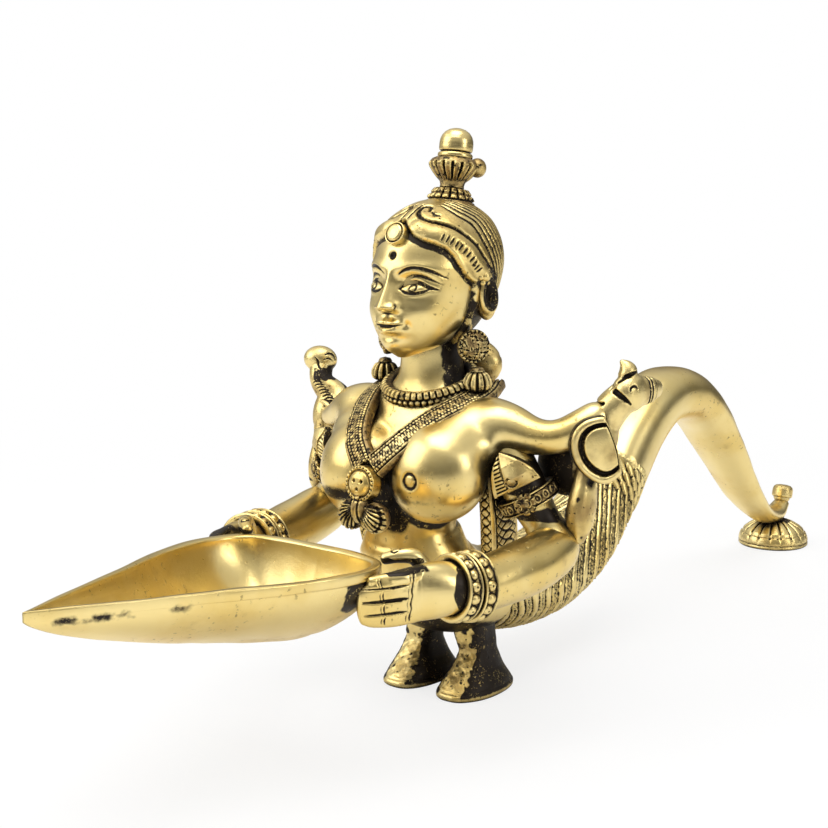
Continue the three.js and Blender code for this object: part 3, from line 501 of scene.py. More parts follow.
def squared(turn, power):
    """Across and up of a round section. A power over 2 squares it off."""
    return [np.sign(part) * np.abs(part) ** (2 / power) for part in (np.cos(turn), np.sin(turn))]


def sections(run, sides, across=(1, 0, 0), power=2.0):
    """Rings square to a run of (x, y, z, half width, half depth)."""
    side, up = square_on(run, across)
    wide, deep = squared(round_turns(sides), power)
    rings = run[:, None, :3] + (wide * run[:, 3:4])[..., None] * side[:, None]
    return rings + (deep * run[:, 4:5])[..., None] * up[:, None]


def tube(rows, count, sides, across=(1, 0, 0), power=2.0):
    """Rings along a smooth run through rows of a place and a radius, or two half widths."""
    return sections(
        through([row if len(row) == 5 else (*row, row[3]) for row in rows], count), sides, across, power
    )


def rounded_ends(rings, steps=5):
    """Closes both ends of a run of rings with a half round."""
    def cap(ring, towards):
        middle = ring.mean(0)
        reach = np.linalg.norm(ring - middle, axis=1).min() * 0.8
        way = towards / np.linalg.norm(towards)
        turns = np.linspace(0.12, math.pi / 2, steps, endpoint=False)
        return [middle + (ring - middle) * math.sin(t) + way * reach * math.cos(t) for t in turns]

    first = cap(rings[0], rings[0].mean(0) - rings[1].mean(0))
    last = cap(rings[-1], rings[-1].mean(0) - rings[-2].mean(0))
    return np.array([*first, *rings, *last[::-1]])


def rod(rows, count, sides, across=(1, 0, 0), power=2.0, steps=5):
    """A closed rod with half round ends."""
    return skin(rounded_ends(tube(rows, count, sides, across, power), steps))


def ball(at, size, turn=(0, 0, 0), segments=32):
    how = {"segments": segments, "ring_count": segments // 2}
    bpy.ops.mesh.primitive_uv_sphere_add(**how, location=at, rotation=turn, scale=size)
    pick(bpy.context.object)
    bpy.ops.object.transform_apply(location=True, rotation=True, scale=True)
    return bpy.context.object


def joined(*pieces):
    pick(*pieces)
    bpy.ops.object.join()
    return bpy.context.object


def melted(parts, voxel, rounds):
    """Joins parts into one skin and softens the creases between them."""
    piece = joined(*parts)
    piece.data.remesh_voxel_size = voxel
    bpy.ops.object.voxel_remesh()
    return modify(piece, "SMOOTH", factor=0.5, iterations=rounds)


def carve(piece, marks, width, depth):
    """Cuts a groove along closely set marks, or raises a bead if depth is negative.

    A fourth number of a mark is its share of the width and depth.
    """
    points, normals = points_of(piece), points_of(piece, "normal")
    low, high = marks[:, :3].min(0) - width, marks[:, :3].max(0) + width
    near = np.nonzero(((points > low) & (points < high)).all(1))[0]
    tree = KDTree(len(marks))
    for index, mark in enumerate(marks[:, :3]):
        tree.insert(mark, index)
    tree.balance()
    found = [tree.find(point)[1:] for point in points[near]]
    index, away = np.array([f[0] for f in found], dtype=int), np.array([f[1] for f in found])
    share = marks[index, 3] if marks.shape[1] > 3 else 1.0
    cut = np.zeros(len(points))
    cut[near] = groove(away, width * share) ** 1.2 * share
    move_points(piece, points - normals * (cut * depth)[:, None])
    return cut


def swell(piece, amount):
    """Moves the points of a piece outwards."""
    move_points(piece, points_of(piece) + points_of(piece, "normal") * amount[:, None])


def onto(piece, points, way=None):
    """Points taken onto the surface of a piece: to the nearest place on it, or along a given way."""
    tree = BVHTree.FromObject(piece, bpy.context.evaluated_depsgraph_get())
    found = points.copy()
    for spot in found:
        if way is None:
            spot[:3] = tree.find_nearest(Vector(spot[:3]))[0]
        else:
            hit = tree.ray_cast(Vector(spot[:3]) - Vector(way) * 80, Vector(way))[0]
            spot[:3] = spot[:3] if hit is None else hit
    return found


def scribe(piece, marks, width, depth, way=None):
    """Carves a piece along marks that are first taken onto it."""
    return carve(piece, onto(piece, marks, way), width, depth)


def dense(rows, spacing):
    """Marks set closely along a smooth run."""
    rough = through(rows, 60)
    length = np.linalg.norm(np.diff(rough, axis=0), axis=1).sum()
    return through(rows, max(4, int(length / spacing)))


def body_run(first_row, last_row, count):
    run = through([(0, *row) for row in SERPENT], 1 + (len(SERPENT) - 1) * 40)
    run = run[first_row * 40 : last_row * 40 + 1]
    pick_at = np.linspace(0, len(run) - 1, count)
    return np.stack([np.interp(pick_at, np.arange(len(run)), column) for column in run.T], 1)


def body_sections(last_row, count, sides):
    """Rings of the body, their ways out, the distance along it and the height round it from below."""
    run = body_run(0, last_row, count)
    rings = sections(run, sides)
    outward = rings - run[:, None, :3]
    outward /= np.linalg.norm(outward, axis=2, keepdims=True)
    along = np.repeat(lengths(run[:, :3])[:, None], sides, 1)
    below = np.arccos(np.clip(np.sin(round_turns(sides)), -1, 1))
    return rings, outward, along, below * run[:, 3:].sum(1)[:, None] / 2


SKIRT_EDGE = 25.5  # where the skirt ends, along the underside
SKIRT_PROUD, SKIRT_SUNK = 0.75, -1.2
RING_AT, RING_R = (12.8, -31.4, 63.2), 1.9  # the ring cut on her left breast

parts = [skin(stacked(CHEST, 90, 72))]
for side in (1, -1):
    x, y, z = BREAST_AT
    drop = 0 if side == 1 else 2.2  # her right breast hangs lower and nearer the middle
    lean = (-BREAST_LEAN, side * BREAST_LEAN, 0)
    parts.append(ball((side * (x - drop), y, z - drop), BREAST_SIZE, lean, 48))
    slope = [(side * (a - 0.8 * drop), b, c - drop, r - 0.5 * drop) for a, b, c, r in UPPER_SLOPE]
    parts.append(rod(slope, 24, 32, (0, 1, 0)))
    x, y, z = SHOULDER_AT
    parts.append(ball((side * x, y, z), SHOULDER_SIZE))
    x, y, z = UPPER_BREAST_AT
    parts.append(ball((side * x, y, z), UPPER_BREAST_SIZE))
    bracket = [(side * x, y, z, r) for x, y, z, r in (BRACKET if side == 1 else FAR_BRACKET)]
    parts.append(rod(bracket, 40, 32, (0, 1, 0)))
rings, outward, along, height = body_sections(5, 120, 120)
phase = along - 9 * np.tanh(height / 14)
proud = SKIRT_SUNK + (SKIRT_PROUD - SKIRT_SUNK) * (1 - soft_step(phase, SKIRT_EDGE - 0.4, SKIRT_EDGE + 0.4))
parts.append(skin(rings + outward * proud[..., None]))
torso = melted(parts, 0.49, 28)
stiff = points_of(torso)
modify(torso, "SMOOTH", factor=0.5, iterations=130)
eased = soft_step(stiff[:, 2], 57, 64)[:, None]
move_points(torso, stiff + (points_of(torso) - stiff) * eased)

turn = np.linspace(0, 2 * math.pi, 60)
ring = np.stack([np.cos(turn) * RING_R, np.zeros(60), np.sin(turn) * RING_R], 1)
scribe(torso, np.array(RING_AT) + ring, 0.6, 0.5)
last = np.argmax(phase > SKIRT_EDGE + 0.2, axis=0), np.arange(rings.shape[1])
hem = rings[last][phase[last] > SKIRT_EDGE]
skirt_line = 0.9 * scribe(torso, hem, 1.1, 0.3)
# Painted shade darkens the sides of the neck under the head, the folds under the breasts, the cleft between
# them round
# # the pendant and the downward-facing underside of the belly; the skirt's hem is a dark cut line.
x, y, z = points_of(torso).T
mottle = 0.5 * uneven(points_of(torso), 2.2, 31)
off_front = np.maximum(np.abs(x) / np.hypot(x, y + 6), soft_step(y, -7, -5))
neck_side_shade = soft_step(z, 82.5, 84.5) * soft_step(off_front + 0.1 * mottle, 0.8, 0.9)
bulge = (np.stack([np.abs(x), y, z]).T - BREAST_AT) / BREAST_SIZE
down = -points_of(torso, "normal")[:, 2]
under_breast_shade = groove(np.linalg.norm(bulge, axis=1) - 1.08, 0.13) * (1 - soft_step(down, 0.3, 0.55))
under_breast_shade = under_breast_shade * (1 - soft_step(z, 56, 60)) * (1 - soft_step(y, -12, -6))
belly_underside_shade = soft_step(down, 0.6, 0.8) * (1 - soft_step(z, 24, 27)) * (1 - soft_step(y, 4, 8))
cleft_shade = (1 - soft_step(np.abs(x) + mottle, 4.5, 7.0)) * within(z, 46, 50, 64, 68) * (y < -20)
soot = np.clip(np.max([neck_side_shade, under_breast_shade, cleft_shade, skirt_line, belly_underside_shade], 0) * (0.85 + 0.3 * mottle), 0, 1)
covered_nodes = ["torso", "left_bracket", "right_bracket"]
settle(torso, "torso_and_brackets", polished, covered_nodes, hollow=(0.05, 0.16), soot=soot)


# Feathered body
# From the skirt's edge to the tail the body is chased with long feathers that sweep up its sides. Plain
# bands alternate with dotted ones, and rows of curled tips end in a beaded rim where the tail begins.
BAND = 4.7  # width of a feather band near the legs, along the lamp
BAND_GROOVE, BAND_DEPTH, BAND_CROWN = 0.64, 0.95, 0.3
DOT_PITCH, DOT_DEPTH = 1.35, 0.42
TIP_ZONE, TIP_LENGTH, TIP_WIDTH, TIP_TURN = 11.5, 4.4, 2.5, 0.8
RIM_BACK = 1.9  # of the beaded rim, from the end of the body


rings, outward, along, height = body_sections(8, 320, 264)
length = along[-1, 0]
sway = uneven(rings.reshape(-1, 3), 11.0, 3).reshape(along.shape) * 0.4
swept = (0.3 + 0.8 * soft_step(height, 12, 24)) * (np.abs(rings[..., 0]) - 13)
side_way = rings[..., 1] + 1.5 * swept - 12 * np.tanh((rings[..., 2] - 6) / 13.0) + sway
narrowing = (side_way + 0.0052 * (side_way + 22) ** 2) / BAND
number = np.floor(narrowing)
across = narrowing - number
pitch = BAND / (1 + 0.0104 * (side_way + 22))
edge = np.minimum(across, 1 - across) * pitch
bold = 1 - 0.4 * soft_step(rings[..., 1], 20, 50)
cut = groove(edge, BAND_GROOVE * bold)
shaped = BAND_CROWN * np.sin(np.pi * across) - BAND_DEPTH * bold * cut
dotted = number % 2 == 1
dot_at = (height + number * 0.6 + 0.4 * sway) / DOT_PITCH
dot_away = np.hypot((across - 0.5) * pitch, off_whole(dot_at) * DOT_PITCH)
shaped -= np.where(dotted, DOT_DEPTH * (groove(dot_away - 0.5, 0.3) - 0.3 * groove(dot_away, 0.25)), 0)
scratch = uneven(rings.reshape(-1, 3) * (1, 1, 0.22), 0.9, 8).reshape(along.shape)
shaped -= 0.14 * soft_step(scratch, 0.0, 0.8) * (1 - cut)

# The curled tips stand in the last part of the bands, like short tongues that point up.
leaning = math.cos(TIP_TURN), math.sin(TIP_TURN)
climb = (along - length) * leaning[0] + height * leaning[1]
over = (height * leaning[0] - (along - length) * leaning[1]) / TIP_WIDTH
column = np.round(over)
row_at = climb / TIP_LENGTH + 0.5 * (column % 2)
row = np.floor(row_at)
up_tip, aside = (row_at - row) * TIP_LENGTH, (over - column) * TIP_WIDTH
middle_climb, middle_over = (row + 0.5 - 0.5 * (column % 2)) * TIP_LENGTH, column * TIP_WIDTH
tip_along = length + middle_climb * leaning[0] - middle_over * leaning[1]
tip_height = middle_climb * leaning[1] + middle_over * leaning[0]
in_zone = (tip_along > length - TIP_ZONE) & (tip_height > 9)
half = (
    TIP_WIDTH * 0.47 * np.sqrt(np.clip((TIP_LENGTH - up_tip) / 1.3, 0, 1))
    * (0.75 + 0.25 * np.clip(up_tip / 1.5, 0, 1))
)
round_over = np.sqrt(np.clip(1 - (aside / np.maximum(half, 0.05)) ** 2, 0, 1))
tongue = np.where(np.abs(aside) < half, 0.15 + 0.75 * round_over * (0.35 + 0.65 * up_tip / TIP_LENGTH), -0.5)
shaped = np.where(in_zone, tongue, shaped)

rim_away = length - RIM_BACK * 0.5 - along
shaped = np.where(rim_away < RIM_BACK * 0.5, 0.55, shaped)
shaped -= 0.65 * groove(rim_away - RIM_BACK * 0.5, 0.45)
pit = height / 1.5
shaped -= 0.5 * groove(np.hypot(off_whole(pit) * 1.5, rim_away + 0.1), 0.48) * (rim_away < RIM_BACK * 0.5)
under_skirt = along - 15.5 * np.tanh(height / 17.0) < -1.5
shaped = np.where(under_skirt, -0.6, shaped)
body = skin(rings + outward * (shaped - 0.1)[..., None])
settle(body, "feathered_body", engraved, ["lower_body"], reach=8, hollow=(0.03, 0.14), wave=0.06)


# Tail
# The tail is one smooth bar that arches up and flattens into a blade on its way down. A beaded stub
# turns up at its tip, and a small lotus foot under it keeps the lamp level.
run = body_run(8, 18, 240)
rings = sections(run, 96, power=2.35 - 0.55 * soft_step(run[:, 1:2], 118, 140))
tail = skin(rounded_ends(rings))
settle(tail, "smooth_tail", polished, ["tail"], reach=6, hollow=(0.08, 0.3), wave=0.12)

tip_y, tip_z = SERPENT[-1][0], SERPENT[-1][1]
FOOT_Y, FOOT_R, FOOT_H, PETALS = tip_y - 5.6, 12.4, 9.4, 18
KNOB_AT = (0, tip_y + 0.6, tip_z + 3.4)
HOOF_X = 9.2
HOOF = [  # height, middle in y, half width, half depth
    (0.0, 1.5, 7.2, 12.2), (0.5, 1.5, 7.7, 12.7), (1.6, 1.6, 7.7, 12.7), (2.4, 1.7, 7.4, 12.1),
    (4.2, 1.9, 6.9, 10.6), (6.4, 2.3, 6.2, 8.8), (9.0, 2.8, 5.2, 6.8), (11.5, 3.0, 4.7, 5.4),
    (14.0, 3.0, 4.9, 5.8), (17.0, 3.0, 4.9, 6.0), (21.8, 3.0, 4.6, 5.8),
]


def turned(profile, count, sides):
    """Rings about +Z, evenly spaced along a profile of (radius, height)."""
    radius, rise = spaced(np.array(profile, dtype=float), count).T[..., None]
    turn = round_turns(sides)
    return np.maximum(radius, 0.02)[..., None] * np.stack([np.cos(turn), np.sin(turn), 0 * turn], 1) + (
        rise[..., None] * (0, 0, 1)
    )


def stood(rings, at, axis=(0, 0, 1)):
    """Rings made about +Z, stood at a place along an axis."""
    turn = np.array(Vector((0, 0, 1)).rotation_difference(Vector(axis)).to_matrix())
    return rings @ turn.T + np.array(at, dtype=float)


def lobes(rings, count):
    """The turn of each point of rings about +Z, in lobes of which a full turn has a count."""
    return np.arctan2(rings[..., 1], rings[..., 0]) * count / (2 * math.pi)


def span(rings):
    """How far each point of rings is from the Z axis."""
    return np.hypot(rings[..., 0], rings[..., 1])


def pushed(rings, amount):
    """Rings about +Z with each point moved away from the axis."""
    reach = np.maximum(span(rings), 1e-6)
    moved = rings.copy()
    moved[..., :2] *= (1 + amount / reach)[..., None]
    return moved


dome = [(FOOT_R * math.cos(t), 1.6 + (FOOT_H - 1.6) * math.sin(t)) for t in np.linspace(0.04, 1.45, 18)]
base = [(0, 0), (FOOT_R - 0.5, 0), (FOOT_R, 0.4), (FOOT_R, 1.1), (FOOT_R - 0.35, 1.35)]
foot = turned([*base, *dome, (0, FOOT_H)], 110, 220)
reach = span(foot)
petal = lobes(foot, PETALS)
aside = off_whole(petal)
share = np.clip((FOOT_R - reach) / FOOT_R, 0, 1)
upper = (foot[..., 2] > 1.7) * soft_step(reach, 2.5, 4.5)
girth = reach / PETALS * 6.28
foot[..., 2] += upper * (0.2 * np.cos(aside * math.pi) - 0.5 * groove((0.5 - aside) * girth, 0.5))
stroke = off_whole(petal + 0.5) * girth
foot[..., 2] -= upper * 0.3 * groove(stroke, 0.32) * (share > 0.3) * (share < 0.62)
foot[..., 2] -= 0.6 * groove(reach - (FOOT_R - 1.2), 0.4) * (foot[..., 2] > 1.7)
tail_foot = skin(stood(foot, (0, FOOT_Y, 0)))
x, y, z = points_of(tail_foot).T
ragged = uneven(points_of(tail_foot), 3.0, 51)
round_neck = 1 - soft_step(np.hypot(x, y - FOOT_Y - 1) + 0.9 * ragged, 4.4, 6.2)
settle(
    tail_foot, "lotus_foot", engraved, ["tail_foot"], reach=6, hollow=(0.04, 0.2), wave=0.08,
    soot=0.9 * round_neck
)

knob = turned(
    [
        (0, -2.6), (2.0, -2.4), (2.6, -1.6), (2.7, -1.0), (3.1, -0.85), (3.35, -0.5), (3.4, 0.6),
        (3.35, 1.7), (3.1, 2.5), (2.4, 3.1), (1.2, 3.38), (0, 3.4)
    ],
    70,
    96,
)
tail_knob = skin(stood(knob * 1.1, KNOB_AT, (0, 0.25, 0.97)))
settle(tail_knob, "blunt_knob", engraved, ["tail_knob"], reach=5, hollow=(0.03, 0.14), wave=0.05)


# Legs
# Two short legs end in flared hoofs. The front of each is a worn, pitted face between sharp corners,
# and its sides are flat and black. The left leg is modelled and the right one is its mirror copy.
def twin(piece, nodes):
    """The same piece on the other side of x = 0."""
    copy = piece.copy()
    copy.data = piece.data.copy()
    bpy.context.collection.objects.link(copy)
    move_points(copy, points_of(copy) * (-1, 1, 1))
    copy.data.flip_normals()
    copy.name = copy.data.name = piece.name.replace("left", "right")
    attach(copy, "root")
    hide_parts(*nodes)
    return copy


def pair(piece, name, finish, nodes, **how):
    """Settles a piece of her left side and its twin on her right."""
    settle(piece, f"left_{name}", finish, [f"left_{node}" for node in nodes], **how)
    twin(piece, [f"right_{node}" for node in nodes])


rings = stacked(HOOF, 120, 144, HOOF_X)
middle = rings.mean(1, keepdims=True)
reach = np.abs(rings - middle).max(1, keepdims=True)
turn = round_turns(144)
rings = middle + np.stack([*squared(turn, 2.9), 0 * turn], 1) * reach
flare = 1 - soft_step(rings[..., 2:], 3, 13)
forward = np.clip((middle - rings)[..., 1:2] / reach[..., 1:2], 0, 1)
backward = np.clip((rings - middle)[..., 1:2] / reach[..., 1:2], 0, 1)
pinch = 1 - 0.16 * flare * forward**1.5 - 0.2 * flare * backward**2
pinch = pinch - 0.16 * within(rings[..., 2:], 3, 7, 14, 20) * (1 - forward) ** 0.5
rings[..., :1] = middle[..., :1] + (rings - middle)[..., :1] * pinch
rings[..., 0] -= 1.5 * soft_step(rings[..., 2], 10, 18)
hoof = skin(rings)
x, y, z = points_of(hoof).T
facing_x, facing_y, _ = points_of(hoof, "normal").T
swell(hoof, -0.12 * groove(z - 2.2, 0.35))
lumps = uneven(points_of(hoof), 3.6, 21) + 0.5 * uneven(points_of(hoof), 1.4, 22)
fronted = soft_step(-facing_y, 0.25, 0.6) * soft_step(z, 2.4, 3.4)
swell(hoof, (0.18 * lumps - 0.3 * soft_step(lumps, 0.7, 1.3)) * fronted)
frayed = 0.13 * lumps + 0.1 * uneven(points_of(hoof), 0.9, 23)
black = soft_step(np.abs(facing_x) + frayed, 0.42, 0.62) * soft_step(z, 1.0, 1.8) * (0.75 + 0.25 * lumps)
black = np.maximum(black, soft_step(facing_y, 0.1, 0.5) * soft_step(z, 2, 4) * 0.8)
black = np.maximum(black, 0.6 * soft_step(lumps + frayed, 0.3, 1.1) * fronted)
pair(
    hoof, "hoofed_leg", engraved, ["leg"], reach=8, hollow=(0.03, 0.18), wave=0.10,
    soot=np.clip(black, 0, 1)
)


# Head
# The face is a plain calm one, modelled to everyday proportions: eyes half way up the head, the nose
# and the mouth spaced below them. Brows, lids and pupils are cut in with a graver.
HEAD = [  # height, middle in y, half width, half depth
    (91.7, -17.6, 1.4, 1.6), (92.6, -16.5, 3.4, 3.6), (94.4, -13.5, 7, 8.2),
    (98.5, -10.2, 10.6, 13.2), (104, -7, 12.9, 16.6), (110, -5, 14.1, 18.2), (116, -4, 14.3, 18.6),
    (121.5, -3.4, 12.8, 16.8), (126, -2.6, 9.6, 12.8), (129, -2, 4.6, 6.4), (129.7, -1.8, 1.5, 2.2),
]
HAIRLINE = [  # half width, height of the line over the face
    (0, 125.2), (1, 124.6), (2.5, 123.3), (4, 122.3), (6.8, 121.0), (9, 120.2), (10.8, 119.2),
    (12.2, 117.2), (13.2, 114.4), (13.9, 111.0), (16, 104.0),
]
EYE_X, EYE_Z, EYE_HALF, EYE_TALL = 6.2, 109.6, 3.5, 1.45
BROW_Z, NOSE_BASE_Z, MOUTH_Z, MOUTH_HALF, CHIN_Z = 113.4, 104.0, 100.2, 4.3, 95.4


def mound(x, z, at_x, at_z, wide, tall):
    return np.exp(-(((x - at_x) / wide) ** 2) - ((z - at_z) / tall) ** 2)


def shares(rows, first=0.6, last=0.6):
    """Rows of a line whose two ends taper."""
    return [(*row, s) for row, s in zip(rows, [first, *[1.0] * (len(rows) - 2), last])]


def front_lines(piece, rows, spacing=0.12):
    """Marks on the front of a piece along a run of (x, z, share)."""
    marks = dense([(x, -24.0, z, share) for x, z, share in rows], spacing)
    return onto(piece, marks, (0, 1, 0))


head = skin(stacked(HEAD, 192, 324))
x, y, z = points_of(head).T
wide = np.abs(x)
down = np.clip((112.6 - z) / (112.6 - NOSE_BASE_Z - 0.8), 0, 1)
ridge = (0.9 + 3.1 * down**1.25) * np.exp(-((wide / (1.15 + 0.85 * down)) ** 2))
ridge *= soft_step(z, NOSE_BASE_Z - 0.9, NOSE_BASE_Z + 0.8) * (1 - soft_step(z, 111.6, 115.4))
face = (
    ridge
    - 1.5 * mound(wide, z, 5.2, 110.9, 3.6, 2.5)
    + 1.5 * mound(wide, z, EYE_X, EYE_Z, 2.9, 1.75)
    + 0.7 * mound(wide, z, 6.5, BROW_Z + 0.9, 4.5, 1.6)
    + 0.9 * mound(wide, z, 7.6, 103.6, 3.8, 3.6)
    + 1.35 * mound(wide, z, 2.2, NOSE_BASE_Z + 0.8, 1.0, 1.1)
    + 0.9 * mound(wide, z, 0, MOUTH_Z, 4.8, 3.0)
    + 1.0 * mound(wide, z, 1.3, MOUTH_Z + 0.85, 1.9, 0.75)
    + 0.5 * mound(wide, z, 3.1, MOUTH_Z + 0.45, 1.3, 0.6)
    + 1.25 * mound(wide, z, 0, MOUTH_Z - 1.05, 2.6, 0.85)
    - 0.3 * mound(wide, z, 0, MOUTH_Z + 2.2, 0.6, 0.9)
    - 0.7 * mound(wide, z, MOUTH_HALF + 0.3, MOUTH_Z + 0.3, 0.8, 0.9)
    - 0.7 * mound(wide, z, 0, MOUTH_Z - 2.9, 3.0, 0.9)
    + 1.2 * mound(wide, z, 0, CHIN_Z, 3.4, 2.2)
)
swell(head, face * soft_step(-y, 6, 12))

head_lines = []
LID = [(-1.0, -0.15), (-0.62, 0.72), (-0.1, 1.05), (0.45, 0.85), (0.95, 0.1), (1.3, -0.3)]
LOW_LID = [(-1.0, -0.15), (-0.5, -0.72), (0.05, -0.88), (0.6, -0.62), (1.0, 0.0)]
FOLD = [(-0.85, 1.0), (-0.35, 1.85), (0.2, 2.1), (0.8, 1.6), (1.45, 0.6)]
BROW = [(-1.1, 2.35), (-0.5, 3.2), (0.15, 3.55), (0.9, 3.0), (1.65, 1.6)]
EYE_CUTS = ((LID, 0.62, 0.62), (LOW_LID, 0.48, 0.5), (FOLD, 0.4, 0.42), (BROW, 0.62, 0.6))
for side in (1, -1):
    for rows, width, depth in EYE_CUTS:
        line = [
            (side * (EYE_X + u * EYE_HALF), EYE_Z + v * EYE_TALL, share)
            for u, v, share in shares(rows, 0.45, 0.4)
        ]
        head_lines.append(carve(head, front_lines(head, line), width, depth))
    turn = np.linspace(0, 2 * math.pi, 13)
    pupil = [(side * EYE_X + 0.85 * math.cos(t), EYE_Z + 0.1 + 0.85 * math.sin(t), 1) for t in turn]
    nostril = [(side * 0.9, NOSE_BASE_Z - 0.15, 0.7), (side * 1.9, NOSE_BASE_Z - 0.05, 1)]
    nose_wing = [(2.2, 2.3, 0.5), (3.2, 1.2, 1), (2.9, -0.1, 0.6)]
    nose_wing = [(side * u, NOSE_BASE_Z + v, s) for u, v, s in nose_wing]
    head_lines.append(carve(head, front_lines(head, pupil, 0.08), 0.3, 0.34))
    head_lines.append(carve(head, front_lines(head, nostril), 0.5, 0.6))
    head_lines.append(carve(head, front_lines(head, nose_wing), 0.4, 0.35))
mouth = [(-MOUTH_HALF, 0.35, 0.6), (-2.2, 0.0, 1), (0, -0.12, 0.9), (2.2, 0.0, 1), (MOUTH_HALF, 0.35, 0.6)]
head_lines.append(carve(head, front_lines(head, [(u, MOUTH_Z + v, s) for u, v, s in mouth]), 0.45, 0.6))
head_lines.append(scribe(head, np.array([[0, -24.0, 117.6]]), 1.35, 1.0, (0, 1, 0)))

x, y, z = points_of(head).T
line_x, line_z = np.array(HAIRLINE).T
ragged = 0.35 * uneven(points_of(head), 3.0, 71)
# A dark joint along the hairline, and painted shade round the ears and under the jaw at the back of the face.
under_hair = groove(z - np.interp(np.abs(x), line_x, line_z) + 0.45 + 0.4 * ragged, 1.0) ** 0.5 * (y < -7)
by_ear_shade = 1 - soft_step(np.hypot((y + 4.2) / 4.6, (z - 105) / 9.5) + ragged, 0.7, 1.0)
jaw_shade = soft_step(y + 4 * ragged, -9, -6) * (1 - soft_step(z, 98, 102))
head_lines += [0.9 * under_hair, 0.9 * by_ear_shade * (np.abs(x) > 9), 0.9 * jaw_shade]
soot = np.max(head_lines, 0) * 1.2
settle(head, "calm_head", polished, ["head"], reach=6, hollow=(0.04, 0.16), wave=0.05, soot=soot)


# Hair
# The hair is combed back from a parting under a raised roll that frames the face. The strands are
# deep grooves that sweep from the top knot to behind the ears, over a smooth bun at the nape.
HAIR_COVER, EAR_LINE_Y, NAPE_Z = 1.5, -7.7, 93.5
ROLL_BELOW = [
    (1.0, -18.0, 124.8), (4.2, -19.4, 122.6), (7.2, -18.9, 121.4), (10.6, -15.9, 120.8),
    (12.5, -13.4, 119.3), (14.4, -11.4, 117.0), (15.0, -9.1, 114.2), (15.2, -7.7, 112.6),
]
ROLL_ABOVE = [
    (4.4, -12.6, 128.2), (3.6, -11.0, 129.6), (2.2, -11.6, 129.2), (1.8, -13.0, 128.4),
    (2.6, -14.7, 127.0), (5.4, -15.4, 125.5), (8.0, -13.8, 125.0), (10.8, -11.2, 123.7),
    (12.9, -9.5, 122.1), (14.3, -6.8, 119.8), (15.3, -5.0, 117.0), (15.4, -2.1, 114.2),
]
FIRST_STRAND = [
    (5.0, -8.6, 129.4), (9.2, -7.8, 126.9), (12.0, -5.2, 124.2), (14.4, -3.8, 120.8), (15.2, -1.6, 116.8),
    (15.2, 0.6, 112.0), (14.2, 1.5, 105.5), (12.4, 1.2, 98.0), (11.0, 0.6, 93.8),
]
BACK_STRAND = [
    (0, 4.0, 130.5), (0, 9.5, 126.5), (0, 13.0, 122.5), (0, 15.3, 117.5), (0, 15.8, 112.0),
    (0, 14.8, 106.5), (0, 12.4, 101.0), (0, 8.4, 96.5), (0, 5.0, 93.8),
]
STRANDS = 13

hair = skin(stacked(HEAD, 196, 352))
x, y, z = points_of(hair).T
over_face = (z - np.interp(np.abs(x), line_x, line_z)) * 0.85
covered = np.minimum(np.maximum(over_face, y - EAR_LINE_Y), z - NAPE_Z)
swell(hair, -1.0 + (HAIR_COVER + 1.0) * soft_step(covered, -0.12, 0.3))


def on_both_sides(marks):
    """Marks on her left with their mirror marks on her right."""
    return np.concatenate([marks, marks * ([-1] + [1] * (marks.shape[1] - 1))])


def comb(marks, width, depth):
    """Cuts strokes into both sides of the hair."""
    return carve(hair, on_both_sides(onto(hair, marks)), width, depth)


def strand(part, first=0.6, last=0.6):
    """A strand of the hair, from 0 at the temple to 1 at the middle of the back."""
    share = (part / STRANDS) ** 0.85
    rows = np.array(FIRST_STRAND) * (1 - share) + np.array(BACK_STRAND) * share
    return dense(shares(rows, first, last), 0.2)


roll_middle = [tuple((np.array(a) + np.array(b)) / 2) for a, b in zip(ROLL_BELOW[1:], ROLL_ABOVE[5:])]
comb(dense(roll_middle, 0.3), 2.6, -0.75)
hair_lines = [comb(dense(shares(ROLL_ABOVE), 0.15), 0.72, 0.95)]
hair_lines.append(comb(np.concatenate([strand(k) for k in range(STRANDS + 1)]), 0.5, 0.55))
between = []
for k in range(STRANDS):
    for part, start, end in ((0.36, 0.2, 0.7), (0.68, 0.45, 1.0)):
        run = strand(k + part, 0.3, 0.3)
        between.append(run[int(len(run) * start) : int(len(run) * end)])
hair_lines.append(0.75 * comb(np.concatenate(between), 0.28, 0.28))
comma = [(5.0, -12.4, 127.9), (6.2, -12.6, 127.0), (7.0, -11.9, 126.8)]
hair_lines.append(comb(dense(shares(comma), 0.15), 0.5, 0.5))
# Short strokes across the roll at the temple.
fringe, under, over = [], dense(ROLL_BELOW, 0.2), dense(ROLL_ABOVE, 0.2)
for k in range(11):
    low, high = under[int((0.42 + 0.052 * k) * len(under)) - 1], over[int((0.6 + 0.036 * k) * len(over)) - 1]
    start, end = low * 0.85 + high * 0.15, low * 0.5 + high * 0.5
    middle = start * 0.5 + end * 0.5 + (0.3, 0, 0.2)
    fringe.append(dense([(*start, 0.9), (*middle, 1.0), (*end, 0.4)], 0.15))
hair_lines.append(comb(np.concatenate(fringe), 0.32, 0.36))
parting = [
    dense([(s, -17.6, 125.6), (s, -14.6, 127.8), (s, -10.6, 129.6)], 0.2)
    for s in (0.9, -0.9)
]
hair_lines.append(0.8 * scribe(hair, np.concatenate(parting), 0.4, 0.4))
x, y, z = points_of(hair).T
ragged = 0.35 * uneven(points_of(hair), 3.0, 72)
# Painted shade on the hair round the ears.
by_ear_shade = 1 - soft_step(np.hypot((y + 3.0) / 5.4, (z - 105.5) / 9.5) + ragged, 0.75, 1.0)
hair_lines.append(0.9 * by_ear_shade * (np.abs(x) > 9))
soot = np.max(hair_lines, 0) * 1.1
settle(hair, "combed_hair", engraved, ["hair_cap"], reach=8, hollow=(0.05, 0.2), wave=0.06, soot=soot)


